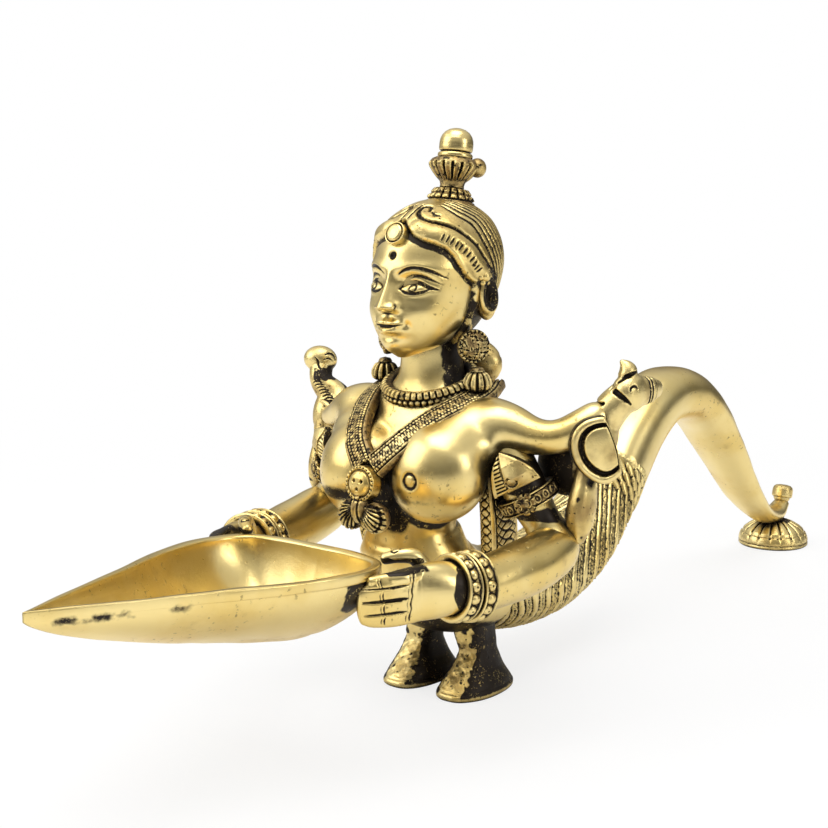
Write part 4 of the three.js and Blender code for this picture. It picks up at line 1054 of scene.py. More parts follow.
# Top knot and bun
# A ring of petals sits on the crown, with a fluted cup and a smooth bud turned above it. They are cast
# together and lean back a little. A plain bun closes the hair at the nape.
KNOT_LEAN, KNOT_Y, KNOT_Z = 0.16, 1.6, 129.0
COLLAR_R, COLLAR_H = 6.4, 4.4
NECK_R, NECK_H, CUP_R, CUP_H, FLUTES = 3.2, 2.0, 6.4, 6.4, 16
BUD_R, BUD_H = 4.4, 7.6
CUP_FOOT = COLLAR_H + 0.3
BUD_FOOT = COLLAR_H + NECK_H + CUP_H * 0.88 + 0.6
KNOT_AXIS = (0, math.sin(KNOT_LEAN), math.cos(KNOT_LEAN))


def knot_at(rise):
    return np.array((0, KNOT_Y, KNOT_Z)) + np.array(KNOT_AXIS) * rise


collar = turned(
    [
        (0, -1), (COLLAR_R - 0.2, -1), (COLLAR_R + 0.1, -0.4), (COLLAR_R + 0.1, 0.6),
        (COLLAR_R - 0.2, 1.15), (COLLAR_R - 0.9, 1.35), (COLLAR_R - 0.7, 1.9), (COLLAR_R * 0.8, 3.0),
        (COLLAR_R * 0.62, COLLAR_H), (0, COLLAR_H),
    ],
    80,
    192,
)
aside = off_whole(lobes(collar, FLUTES))
upper = soft_step(collar[..., 2], 1.3, 1.8) * (collar[..., 0] ** 2 + collar[..., 1] ** 2 > 9)
tip = np.clip((collar[..., 2] - 1.3) / 3.0, 0, 1)
collar = pushed(
    collar,
    upper * (
        0.55 * np.cos(aside * math.pi) - 0.85 * groove(0.5 - aside, 0.17)
        - 0.45 * groove(tip - 0.55, 0.14)
    )
)
knot_collar = skin(stood(collar, knot_at(0), KNOT_AXIS))
settle(knot_collar, "petal_collar", aged, ["top_knot_collar"], reach=6, hollow=(0.03, 0.14), wave=0.05)

cup = turned(
    [
        (0, 0), (NECK_R, 0), (NECK_R - 0.1, 0.7), (NECK_R + 0.1, 1.5), (NECK_R + 0.9, NECK_H + 0.5),
        (CUP_R * 0.84, NECK_H + CUP_H * 0.3), (CUP_R * 0.97, NECK_H + CUP_H * 0.48),
        (CUP_R, NECK_H + CUP_H * 0.6), (CUP_R * 0.99, NECK_H + CUP_H * 0.7),
        (CUP_R * 0.92, NECK_H + CUP_H * 0.8), (CUP_R * 0.8, NECK_H + CUP_H * 0.87),
        (CUP_R * 0.66, NECK_H + CUP_H * 0.88), (0, NECK_H + CUP_H * 0.86),
    ],
    104,
    208,
)
aside = off_whole(lobes(cup, FLUTES))
rise = (cup[..., 2] - NECK_H) / CUP_H
fluted = within(rise, -0.06, 0.1, 0.6, 0.72) * (cup[..., 0] ** 2 + cup[..., 1] ** 2 > 7)
cup = pushed(cup, fluted * (0.3 * np.cos(aside * math.pi) - 1.15 * groove(0.5 - aside, 0.2)))
knot_cup = skin(stood(cup, knot_at(CUP_FOOT), KNOT_AXIS))
lump = ball(knot_at(CUP_FOOT + NECK_H + CUP_H * 0.5) + (4.9, 3.6, 0), (2.3, 2.3, 2.5), (0, 0, 0.6), 40)
joined(knot_cup, lump)
settle(knot_cup, "fluted_cup", aged, ["top_knot_cup"], reach=6, hollow=(0.03, 0.14), wave=0.05)

bud = turned(
    [
        (0, -0.4), (BUD_R - 0.1, -0.4), (BUD_R + 0.15, 0.1), (BUD_R + 0.15, 0.7), (BUD_R - 0.1, 1.05),
        (BUD_R - 0.55, 1.2), (BUD_R - 0.55, 1.45), (BUD_R - 0.1, 1.65), (BUD_R, 2.4), (BUD_R, 3.6),
        (BUD_R * 0.97, 4.6), (BUD_R * 0.88, 5.6), (BUD_R * 0.72, 6.5), (BUD_R * 0.5, 7.15),
        (BUD_R * 0.25, 7.5), (0, BUD_H),
    ],
    72,
    96,
)
knot_bud = skin(stood(bud, knot_at(BUD_FOOT), KNOT_AXIS))
settle(knot_bud, "smooth_bud", polished, ["top_knot_bud"], reach=8, hollow=(0.04, 0.14), wave=0.05)

jewel_axis = (0, -math.cos(0.42), math.sin(0.42))
jewel = turned(
    [
        (0, -2.4), (2.9, -2.4), (2.95, 0), (2.8, 0.2), (2.62, 0.1), (2.45, -0.25), (2.3, -0.25),
        (2.2, 0.3), (1.7, 0.55), (0.8, 0.7), (0, 0.72)
    ],
    80,
    96,
)
jewel = skin(stood(jewel, (0, -21.2, 123.2), jewel_axis))
settle(jewel, "round_jewel", polished, ["parting_jewel"], reach=6, hollow=(0.02, 0.1), wave=0.03)

bun = ball((0, 8.5, 87.5), (11.5, 5.6, 7.4), (0, 0, 0), 128)
wraps = []
for k, drop in enumerate((-3.2, 0.2, 3.4)):
    turn = np.linspace(-1.25, 1.25, 60)
    level = 87.5 + drop + 0.8 * np.sin(turn * 2 + k)
    wraps.append(np.stack([11.5 * np.sin(turn), 8.5 + 6 * np.cos(turn), level], 1))
bun_lines = scribe(bun, np.concatenate(wraps), 0.55, 0.45)
knob = ball((0, 13.6, 87.6), (2.4, 1.9, 2.4), (0, 0, 0), 32)
settle(bun, "nape_bun_smooth", engraved, ["nape_bun"], reach=6, hollow=(0.04, 0.2), wave=0.08, soot=bun_lines)
settle(knob, "bun_knob", engraved, [], reach=4, hollow=(0.04, 0.2), wave=0.03)


# Ears and ear-rings
# Each ear is a rolled rim round a dark hollow with a small flower above it. A pitted disc hangs at the
# lobe, with a fluted bell under it. The left ones are modelled and the right ones are their mirror copies.
EAR_AT, EAR_SIZE = (14.6, -2.6, 106.6), (2.7, 3.3, 6.0)
STUD_AT, STUD_AXIS = (14.6, -7.2, 94.4), (0.86, -0.5, 0)
BELL_AT, BELL_R, BELL_HALF = (15.2, -6.6, 85.9), 3.5, 2.7

ear = ball(EAR_AT, EAR_SIZE, (0.15, 0, 0), 120)
x, y, z = (points_of(ear) - EAR_AT).T
out = np.hypot((y + 0.5) / (EAR_SIZE[1] * 0.62), (z - 0.9) / (EAR_SIZE[2] * 0.6))
outer = soft_step(x, 0.3, 1.0)
swell(ear, outer * (-2.2 * (1 - soft_step(out, 0.55, 1.0)) + 0.45 * groove(out - 1.2, 0.3)))
petals = [ball((15.7, -4.3, 112.0), (1.5, 1.5, 1.5), (0, 0, 0), 28)]
for k in range(6):
    turn = k * math.pi / 3
    petal_at = (15.4, -4.3 + 1.75 * math.cos(turn), 112.0 + 1.75 * math.sin(turn))
    petals.append(ball(petal_at, (1.1, 0.95, 0.95), segments=20))
hole = outer * (1 - soft_step(out, 0.75, 1.05))
rim_groove = outer * groove(out - 1.02, 0.16)
joined(ear, *petals)
black = np.concatenate([np.maximum(hole, rim_groove), np.zeros(len(points_of(ear)) - len(hole))])
pair(ear, "hollow_ear", engraved, ["ear"], reach=6, hollow=(0.03, 0.16), wave=0.04, soot=black)

disc = turned(
    [
        (0, -3), (3.6, -3), (4.2, -1.4), (4.35, -0.5), (4.2, 0.2), (3.9, 0.3), (3.7, 0.05), (3.5, 0.1),
        (3.2, 0.6), (2.6, 1.1), (1.6, 1.6), (0.7, 1.8), (0, 1.8),
    ],
    80,
    160,
)
reach = span(disc)
coarse = uneven(disc.reshape(-1, 3), 1.5, 61).reshape(reach.shape)
fine = uneven(disc.reshape(-1, 3), 0.8, 62).reshape(reach.shape)
disc[..., 2] -= 0.5 * soft_step(coarse + 0.6 * fine, 0.25, 0.7) * (disc[..., 2] > 0.2)
ring = lobes(disc, 22)
disc[..., 2] -= (
    0.45 * groove(off_whole(ring) * 2 * math.pi / 22 * reach, 0.25) * (reach > 3.4)
    * (disc[..., 2] > -0.2)
)
stud = skin(stood(disc, STUD_AT, STUD_AXIS))
pair(stud, "pitted_disc", aged, ["ear_stud"], reach=5, hollow=(0.02, 0.1), wave=0.03)

drop = turned(
    [
        (0, -BELL_HALF), (BELL_R * 0.72, -BELL_HALF), (BELL_R * 0.92, -BELL_HALF * 0.8),
        (BELL_R, -BELL_HALF * 0.44), (BELL_R * 0.97, -BELL_HALF * 0.05),
        (BELL_R * 0.8, BELL_HALF * 0.4), (BELL_R * 0.52, BELL_HALF * 0.85),
        (BELL_R * 0.4, BELL_HALF * 1.1), (0, BELL_HALF * 1.24),
    ],
    66,
    120,
)
aside = off_whole(lobes(drop, 10))
lower = (drop[..., 2] < BELL_HALF * 0.75) * (span(drop) > 1.2)
drop = pushed(drop, lower * (0.25 * np.cos(aside * math.pi) - 0.95 * groove(0.5 - aside, 0.26)))
drop = pushed(
    drop,
    -0.45 * groove(drop[..., 2] - BELL_HALF * 0.72, 0.3) * (span(drop) > 1.2)
)
bell = skin(stood(drop, BELL_AT))
pair(bell, "fluted_drop", aged, ["ear_bell"], reach=5, hollow=(0.02, 0.1), wave=0.03)


# Neck ornaments
# A toothed choker sits close round the neck. A broad granulated collar runs from the shoulders down to
# a round medallion, with a two-lobed lotus pendant under it. All are cast on and chased by hand.
CHOKER_AT, CHOKER_WIDE, CHOKER_DEEP, CHOKER_SECTION, CHOKER_TILT = (0, -6.6, 84), 11.4, 10.8, 1.7, 0.3
COLLAR_PATH = [
    (12.0, 4.4, 82.4), (13, 2.5, 82.6), (15.4, -3.5, 82.2), (14.8, -11.4, 80), (11.4, -20, 76.6),
    (6.6, -28, 70.6), (1.5, -31, 65.4),
]
COLLAR_HALF, COLLAR_THICK, GRAIN = 3.5, 1.6, 0.92
MEDAL_AT, MEDAL_FACING = (0, -35, 61.6), (0, -1, 0.12)
LOBE_X, LOBE_R, PENDANT_Z = 3.6, 4.2, 53.2


def loop(rings):
    """A skin over rings that meet end to end."""
    rings = np.asarray(rings, dtype=float)
    count, sides = rings.shape[:2]
    bpy.ops.mesh.primitive_grid_add(x_subdivisions=sides, y_subdivisions=count, calc_uvs=False)
    piece = bpy.context.object
    sheet = points_of(piece)
    row = np.rint((sheet[:, 1] + 1) / 2 * count).astype(int) % count
    column = np.rint((sheet[:, 0] + 1) / 2 * sides).astype(int) % sides
    move_points(piece, rings[row, column])
    face_out(piece)
    return piece


way_round = round_turns(460)[:, None]
section = round_turns(48)[None, :]
teeth = way_round * 46 / (2 * math.pi) + 0.5 * (np.sin(section) > 0)
tooth = off_whole(teeth)
face = np.clip(np.cos(section), 0, 1)
swelled = 0.35 * np.cos(tooth * math.pi) * face**0.5 - 0.8 * groove(np.sin(section) * 1.7, 0.34) * (face > 0)
swelled = swelled - 0.6 * groove(0.5 - tooth, 0.16) * (face > 0.25)
radius = CHOKER_SECTION * np.array([1.0]) + swelled * (face > 0)
reach = radius * np.cos(section)
rise = radius * np.sin(section) * 1.15
flat = np.stack(
    [
        (CHOKER_WIDE + reach) * np.cos(way_round),
        (CHOKER_DEEP + reach * CHOKER_DEEP / CHOKER_WIDE) * np.sin(way_round),
        rise + 0 * way_round,
    ],
    2,
)
tilt = np.array(Matrix.Rotation(CHOKER_TILT, 3, "X"))
choker = loop(flat @ tilt.T + np.array(CHOKER_AT))
settle(choker, "toothed_choker", aged, ["choker"], reach=5, hollow=(0.02, 0.12), wave=0.04)

run = through([(*row, 0, 0) for row in COLLAR_PATH], 300)[:, :3]
along = np.gradient(run, axis=0)
along /= np.linalg.norm(along, axis=1, keepdims=True)
outwards = np.stack([run[:, 0] * 0.35, (run[:, 1] + 16) * 0.55, (run[:, 2] - 60) * 0.8], 1)
outwards /= np.linalg.norm(outwards, axis=1, keepdims=True)
outwards[:, 1] = -np.abs(outwards[:, 1]) - 0.25
flat = np.cross(along, outwards)
flat /= np.linalg.norm(flat, axis=1, keepdims=True)
up = np.cross(flat, along)
length = lengths(run)[:, None]
turn = round_turns(96)
cos, sin = np.cos(turn), np.sin(turn)
across, high = (np.sign(part) * np.abs(part) ** 0.6 for part in (cos, sin))
offset = across[None, :] * COLLAR_HALF
top = (high > 0.2)[None, :]
inside = np.abs(offset) < COLLAR_HALF * 0.66
lane = offset / GRAIN
grain_row = np.round(lane)
step = length / GRAIN + 0.5 * (grain_row % 2)
grain = np.hypot(off_whole(step), lane - grain_row) * GRAIN
size = 0.54 + 0.16 * np.sin(length * 2.3 + grain_row * 1.9) * np.sin(length * 0.71 + grain_row * 4.3)
lift = np.where(inside, 0.5 * np.sqrt(np.clip(1 - (grain / size) ** 2, 0, 1)) - 0.3, 0.2)
lift = lift - 0.5 * groove(np.abs(offset) - COLLAR_HALF * 0.7, 0.3)
thick = COLLAR_THICK * high[None, :] + lift * top
rings = run[:, None] + offset[..., None] * flat[:, None] + thick[..., None] * up[:, None]
collar_left = skin(rings)
collar_right = skin(rings * (-1, 1, 1))
joined(collar_left, collar_right)
settle(collar_left, "granulated_collar", aged, ["necklace"], reach=5, hollow=(0.02, 0.11), wave=0.05)

medal = turned(
    [
        (0, -3.4), (4.3, -3.4), (4.5, -2.8), (4.5, 0.1), (4.25, 0.45), (3.85, 0.5), (3.6, 0.1),
        (3.3, 0.1), (3.05, 0.65), (2.4, 1.05), (1.4, 1.28), (0, 1.3),
    ],
    80,
    132,
)
for k in range(3):
    spot = 2 * math.pi * k / 3 + 0.5
    dot = np.hypot(medal[..., 0] - 1.35 * math.cos(spot), medal[..., 1] - 1.35 * math.sin(spot))
    medal[..., 2] -= 0.75 * groove(dot, 0.55) * (medal[..., 2] > 0)
ring = lobes(medal, 24)
reach = span(medal)
notch = np.hypot(off_whole(ring) * 2 * math.pi / 24 * reach, reach - 4.1)
medal[..., 2] -= 0.4 * groove(notch, 0.32) * (medal[..., 2] > 0)
medallion = skin(stood(medal, MEDAL_AT, MEDAL_FACING))
settle(medallion, "dotted_medallion", polished, ["medallion"], reach=5, hollow=(0.02, 0.1), wave=0.03)

parts = []
for side in (1, -1):
    lobe = ball((side * LOBE_X, -33.4, PENDANT_Z), (LOBE_R, 3.3, LOBE_R * 0.92), (0, side * 0.5, 0), 120)
    x, y, z = points_of(lobe).T
    dx, dz = x - side * 0.3, z - (PENDANT_Z + 3.2)
    fan = np.arctan2(dx * side, -dz) * 6.0
    away = np.hypot(dx, dz)
    stroke = off_whole(fan) / 6.0 * away
    front = soft_step(-y, 33.5, 34.5)
    swell(lobe, front * (0.25 - 0.7 * groove(stroke, 0.3) * soft_step(away, 1.5, 2.5)))
    rim = np.hypot((x - side * LOBE_X) / LOBE_R, (z - PENDANT_Z) / LOBE_R)
    swell(lobe, -0.45 * groove(rim - 0.8, 0.08) * front)
    parts.append(lobe)
bud = ball((0, -34, PENDANT_Z + 2), (2.3, 3.7, 4.3), (0, 0, 0), 80)
x, y, z = points_of(bud).T
swell(
    bud,
    -0.5 * groove(np.abs(x) - 0.9, 0.3) * (y < -34) - 0.5 * groove(z - PENDANT_Z - 4.6, 0.35) * (y < -34)
)
joined(bud, *parts)
settle(bud, "lotus_pendant", aged, ["pendant_lotus"], reach=5, hollow=(0.02, 0.14), wave=0.04)


# Arms and hands
# Smooth arms bend at the elbow and carry the bowl. The hands are flat as mittens, with the fingers
# marked off by three long cuts and short strokes, and each thumb arches over the lip.
ARM = [  # x, y, z, radius
    (25.4, -6.8, 69.6, 5.0), (30.2, -7, 60, 5.8), (34.4, -4.6, 51, 5.0), (37.6, -4.4, 45.6, 6.5),
    (38.0, -10.4, 43.6, 7), (37, -22, 42, 7), (35.2, -33, 41.4, 6.5), (33, -43, 42.2, 5.8),
]
BANGLE_Y, BANGLE_WIDE, BANGLE_THICK = (-35.6, -40), 3.9, 1.7
ARMLET_Z, ARMLET_WIDE, ARMLET_THICK = 57.5, 4.0, 1.8
CREST_HIGH, CREST_HALF, CREST_LIFT = 10, 6.4, 2.4
PALM = [(33.4, -41.6, 42.2, 6.1, 6.3), (32.4, -45.4, 42.4, 5.2, 6.8), (30.6, -51, 42.4, 3.0, 6.8)]
MITTEN = [  # x, y, z, half width, half depth
    (31.6, -48.5, 42.6, 2.2, 6.5), (30.2, -53, 42.3, 2.1, 6.7), (28.0, -58, 41.8, 2.0, 6.4),
    (25.6, -62, 41.2, 1.8, 5.4), (24.6, -63.6, 41.0, 1.3, 4.4),
]
FINGERS, FINGER_R, TOP_FINGER_Z, FINGER_PITCH = 4, 1.5, 47.2, 3.1
FINGER_ROOT, FINGER_TIP = (31.2, -50), (26.4, -63.2)
THUMB_ROOT, THUMB_TIP, THUMB_RISE, THUMB_R = (29, -46.5, 48.4), (22.4, -52.2), 0.9, 1.7

arm = rod(ARM, 180, 90, (0.8, -0.55, 0.2))
x, y, z = points_of(arm).T
ragged = uneven(points_of(arm), 2.0, 33)
round_armlet = (
    soft_step(z + 0.3 * ragged, 58.6, 59.6) * (1 - soft_step(z + 0.4 * ragged, 66, 68))
    + (1 - soft_step(np.abs(z + 0.4 * ragged - 53.8), 1.0, 2.0)) * (y < -4)
)
pair(
    arm, "smooth_arm", polished, ["arm"], reach=8, hollow=(0.05, 0.2), wave=0.14,
    soot=0.95 * np.clip(round_armlet, 0, 1)
)

parts = [rod(PALM, 30, 40, steps=6), rod(MITTEN, 40, 64, power=3.0)]
finger_runs = []
for k in range(FINGERS):
    z, back = TOP_FINGER_Z - FINGER_PITCH * k, k * 0.5
    rows = [
        (FINGER_ROOT[0] - k * 0.35, FINGER_ROOT[1], z, FINGER_R * 1.1),
        (FINGER_ROOT[0] - 0.6 - k * 0.6, FINGER_ROOT[1] - 5, z - 0.2, FINGER_R * 1.15),
        (FINGER_TIP[0] + 1.4 - k * 0.5, FINGER_TIP[1] + 4.4 + back, z - 0.3, FINGER_R * 1.0),
        (FINGER_TIP[0] - 0.2 - k * 0.5, FINGER_TIP[1] + 1 + back, z - 0.3, FINGER_R * 0.8),
    ]
    finger_runs.append(through(rows, 80))
    parts.append(rod(rows, 30, 24))
rim_there = BOWL_RIM_Z - BOWL_RISE * (THUMB_TIP[1] - BOWL_WIDEST_Y)
thumb_rows = [
    (THUMB_ROOT[0], THUMB_ROOT[1] + 2, THUMB_ROOT[2] - 3, THUMB_R * 1.3),
    (THUMB_ROOT[0] - 1.6, THUMB_ROOT[1] - 1, rim_there + THUMB_RISE, THUMB_R * 1.15),
    (
        (THUMB_ROOT[0] + THUMB_TIP[0]) / 2 - 0.6, (THUMB_ROOT[1] + THUMB_TIP[1]) / 2 - 1,
        rim_there + THUMB_RISE + 0.5, THUMB_R
    ),
    (*THUMB_TIP, rim_there + THUMB_RISE - 0.2, THUMB_R * 0.85),
]
parts.append(rod(thumb_rows, 40, 32, (0, 1, 0), steps=6))
hand = melted(parts, 0.24, 5)
outer_way = (-0.93, 0.3, 0)
cuts = []
for k, (one, two) in enumerate(zip(finger_runs, finger_runs[1:])):
    line = (one[24:80:7, :3] + two[24:80:7, :3]) / 2
    line = np.vstack([line, line[-1] + (-0.9, -1.6, 0), line[-1] + (-2.0, -3.0, 0)])
    bite = np.array([0.45, 0.8, 1, 1.1, 1.1, 1.1, 1, 0.9, 0.8, 0.5]) * (0.85, 1.25, 0.9)[k]
    cuts.append(onto(hand, through(np.column_stack([line, bite]), 160), outer_way))
hand_lines = [carve(hand, np.concatenate(cuts), 0.42, 0.6)]
strokes = []
for place, share, skipped in ((19, 1.0, 0.8), (24, 0.7, 0.6), (66, 0.9, 0.3), (71, 0.7, 0.25)):
    knuckles = []
    for k, run in enumerate(finger_runs):
        at = run[place, :3]
        knuckles += [
            (*(at + (0, 0.25, 1.2)), share * skipped), (*at, share), (*(at + (0, 0.2, -1.1)), share * 0.8)
        ]
    strokes.append(onto(hand, through(knuckles, 160), outer_way))
hand_lines.append(carve(hand, np.concatenate(strokes), 0.34, 0.3) * 0.8)
x, y, z, r = through(thumb_rows, 60)[44]
nail_turns = np.linspace(0.4, 2 * math.pi - 0.4, 12)
nail = [(x + 0.9 * math.cos(t), y + 1.2 * math.sin(t), z + 9, 1.0) for t in nail_turns]
hand_lines.append(scribe(hand, through(nail, 60), 0.3, 0.28, (0, 0, -1)))
x, y, z = points_of(hand).T
rough = uneven(points_of(hand), 1.6, 31)
heel = -45.8 + 0.11 * (z - 42.6) ** 2 + 0.25 * rough
hand_lines.append(0.95 * soft_step(y, heel - 0.3, heel + 0.5) * (x > 30))
# Painted shade under the arch of the thumb: on the tops of the fingers below it and on the thumb's underside.
faces_up = soft_step(points_of(hand, "normal")[:, 2], 0.45, 0.7)
lens = soft_step(y, -60 + rough, -57.5 + rough) * (1 - soft_step(y, -50.5, -48.8))
hand_lines.append(0.85 * faces_up * soft_step(-z, -49.6, -49.0) * lens)
under_thumb_shade = (
    soft_step(z, 47.7, 48.2) * (1 - soft_step(z + 0.3 * rough, 49.7, 50.2))
    * within(y, -55.5, -54, -48, -46.5)
)
hand_lines.append(0.9 * under_thumb_shade * (points_of(hand, "normal")[:, 2] < 0.5))
pair(
    hand, "mitten_hand", polished, ["hand"], reach=8, hollow=(0.05, 0.22), wave=0.06,
    soot=np.max(hand_lines, 0)
)


# Bangles and armlets
# Two bangles with raised edges and a row of beads between them circle each wrist. A beaded armlet circles
# each upper arm, with a flower boss in front and a leaf-shaped crest standing over it.
arm_line = through(ARM, 2000)
arm_way = np.gradient(arm_line[:, :3], axis=0)
arm_way /= np.linalg.norm(arm_way, axis=1, keepdims=True)


def arm_place(badness):
    """The middle, the way and the radius of the arm where a measure is least."""
    k = int(np.argmin(badness))
    return arm_line[k, :3], arm_way[k], arm_line[k, 3]


def hoop(place, wide, thick, lift):
    """A ring round the arm. lift raises its outer face by the turn and the height on it."""
    at, way, radius = place
    h = wide / 2
    inner, outer = radius + 0.3, radius + 0.3 + thick
    face = np.linspace(-h * 0.9, h * 0.9, 32)
    profile = [(inner, h * 0.8), (inner, 0), (inner, -h * 0.8), (outer - 0.5, -h), (outer - 0.15, -h * 0.96)]
    profile += [(outer, z) for z in face] + [(outer - 0.15, h * 0.96), (outer - 0.5, h)]
    turn = round_turns(300)
    rows = []
    for r, z in profile:
        grow = lift(turn, z) * (r == outer)
        rows.append(np.stack([(r + grow) * np.cos(turn), (r + grow) * np.sin(turn), np.full(300, z)], 1))
    rings = np.array(rows).transpose(1, 0, 2)
    return loop(stood(rings, at, way))


def beads(wide, count):
    def lift(turn, z):
        share = abs(z) / (wide / 2)
        pitch = 2 * math.pi / count
        number = np.round(turn / pitch)
        bead = np.hypot(
            (turn - number * pitch) * 7.6 / 1.3, z / (wide * 0.36 * (1 - 0.2 * (number % 3 == 1)))
        )
        raised = 1.15 * np.sqrt(np.clip(1 - bead**2, 0, 1)) - 0.5 * groove(bead, 0.3) * (number % 2 == 0)
        return raised - 0.75 if share < 0.8 else np.full_like(turn, 0.2)
    return lift


for k, y in enumerate(BANGLE_Y):
    place = arm_place(np.abs(arm_line[:, 1] - y) + 99 * (arm_line[:, 2] > 50))
    bangle = hoop(place, BANGLE_WIDE, BANGLE_THICK, beads(BANGLE_WIDE, 16))
    pair(
        bangle, f"beaded_bangle_{k + 1}", engraved, [f"bangle_{k + 1}"], reach=5, hollow=(0.02, 0.12),
        wave=0.04
    )


def ovals(turn, z):
    pitch = 2 * math.pi / 18
    away = (turn + pitch / 2) % pitch - pitch / 2
    oval = np.hypot(away * 7.6 / 1.05, z / 1.2)
    ring, dot = 0.5 * np.exp(-(((oval - 0.8) / 0.22) ** 2)), 0.3 * np.exp(-((oval / 0.3) ** 2))
    edge = 0.3 if abs(z) > ARMLET_WIDE * 0.4 else 0.0
    return ring - 0.3 + edge + dot - 0.4 * groove(abs(z) - ARMLET_WIDE * 0.37, 0.2)


armlet_place = arm_place(np.abs(arm_line[:, 2] - ARMLET_Z) + 99 * (arm_line[:, 1] < -12))
armlet = hoop(armlet_place, ARMLET_WIDE, ARMLET_THICK, ovals)
armlet_at, armlet_way, armlet_r = armlet_place
crest_up = -armlet_way
crest_front = np.array([0.5, -1, 0]) - crest_up * np.dot((0.5, -1, 0), crest_up)
crest_front /= np.linalg.norm(crest_front)
crest_side = np.cross(crest_up, crest_front)
boss_at = armlet_at + crest_front * (armlet_r + 1.6)
boss = turned(
    [(0, -1), (2.4, -1), (2.5, 0.2), (2.1, 0.6), (1.5, 0.5), (1.2, 0.3), (0.9, 0.9), (0.4, 1.2), (0, 1.25)],
    44, 84
)
aside = off_whole(lobes(boss, 7))
outer_part = span(boss) > 1.1
boss = pushed(boss, outer_part * (0.4 * np.cos(aside * math.pi) - 0.7 * groove(0.5 - aside, 0.14)))
boss = skin(stood(boss, boss_at, crest_front))
joined(armlet, boss)
pair(armlet, "beaded_armlet", aged, ["armlet"], reach=5, hollow=(0.02, 0.12), wave=0.04)


def relief(outline, levels, middle, place):
    """A plate over an outline in (u, v). levels are (share of the way out, height), from back to front."""
    rows = []
    for share, height in levels:
        flat = middle + (outline - middle) * share
        rows.append(np.column_stack([flat, np.full(len(flat), height)]))
    return skin(place(np.array(rows)))


def arc(*controls, count=30):
    """An arc from the first point to the last, drawn towards those between."""
    share = np.linspace(0, 1, count, endpoint=False)[:, None]
    points = [np.array(point, dtype=float) for point in controls]
    while len(points) > 1:
        points = [(1 - share) * one + share * two for one, two in zip(points, points[1:])]
    return points[0]


def outlined(arcs, count):
    line = np.vstack(arcs)
    return spaced(np.vstack([line, line[:1]]), count, closed=True)


h, w = CREST_HIGH, CREST_HALF
leaf = [
    arc((-w, 0), (0, -0.4), (w, 0)), arc((w, 0), (w * 0.9, h * 0.6), (0, h)),
    arc((0, h), (-w * 0.9, h * 0.6), (-w, 0))
]
leaf = outlined(leaf, 190)
crest_at = armlet_at + crest_up * (ARMLET_WIDE / 2 + CREST_LIFT) + crest_front * (armlet_r - 0.6)
crest_base = np.array([crest_side, crest_up, crest_front])


def on_crest(rows):
    u, v, high = rows[..., 0], rows[..., 1], rows[..., 2]
    front = high > 0.5
    bulge = np.clip(1 - (u / 5.5) ** 2, 0, 1) * np.clip(v / 3, 0, 1) * np.clip((9.5 - v) / 3, 0, 1)
    high = high + front * 2.0 * bulge
    leaf_edge = 6.4 * np.clip(1 - v / 10.5, 0, 1) ** 0.62
    barred = (u < -0.4 * leaf_edge) & (u > -0.88 * leaf_edge)
    high = high - front * 0.55 * groove(off_whole(v / 0.95) * 0.95, 0.26) * barred
    high = high - front * 0.6 * groove(u + 0.36 * leaf_edge, 0.34) * (v > 0.8)
    eye = np.hypot(u + 0.3, v - 2.2)
    high = high + front * (0.4 * np.exp(-((eye / 0.6) ** 2)) - 0.6 * groove(eye - 1.3, 0.34) * (u + v < 3.2))
    return crest_at + np.stack([u, v, high], -1) @ crest_base


side_steps = [
    (0.02, 0), (0.95, 0), (1, 0.3), (1, 1.5), (0.97, 1.75), (0.9, 1.8), (0.85, 1.75), (0.02, 1.9),
]
crest = relief(leaf, spaced(np.array(side_steps), 100, (6, 1)), np.array((0, 3.4)), on_crest)
# Painted shade on the edges and back of the crest that turn away from the front.
turned_away_shade = 1 - soft_step(points_of(crest, "normal") @ crest_front, 0.15, 0.5)
pair(
    crest, "leaf_crest", engraved, ["armlet_crest"], reach=5, hollow=(0.03, 0.13), wave=0.04,
    soot=turned_away_shade
)


# Birds
# A bird stands on each bracket and looks back. It has a round head with a pointed crest, a banded beak
# and a long plump tail. A teardrop wing is soldered to its outer side.
BIRD_X, BIRD_Y, BIRD_Z, BIRD_SIZE = 45, 4.0, 73, (4.8, 5.2, 9.2)
SKULL_AT, SKULL_R, BEAK = (50.4, 9.4, 84), 5.0, 7.4
TRAIN = [  # x, y, z, half width, half depth
    (44.4, 3.4, 69, 2.6, 4.2), (43.6, 0.8, 62, 2.6, 3.6), (43.3, -0.6, 56, 3.0, 4.4),
    (43.1, -1.2, 51, 2.8, 3.6), (42.9, -1.6, 47.6, 1.7, 2.0),
]
WEB_AT, WEB_SIZE = (36.8, 1.5, 65.2), (8.0, 3.2, 7.8)
WING_AT, WING_LONG, WING_WIDE, WING_FACING, WING_LEAN = (47, 0, 70.4), 16.6, 11.8, 0.82, 0.3
RIGHT_WING_SHIFT, RIGHT_WING_TURN, RIGHT_WING_SIZE = (4.1, 2.2, -3.0), 0.6, 0.74
HATCH = 2.4  # between the lines of the straps
SASH = [  # x, y, z, half width, half depth
    (19.6, -2.5, 36, 3.0, 5.6), (21.0, -5.05, 50, 2.9, 5.6), (20.8, -7.6, 64, 2.6, 4.5),
]

VIEW_WAY = (-0.62, 0.78, 0)  # the way a viewer of her left side looks

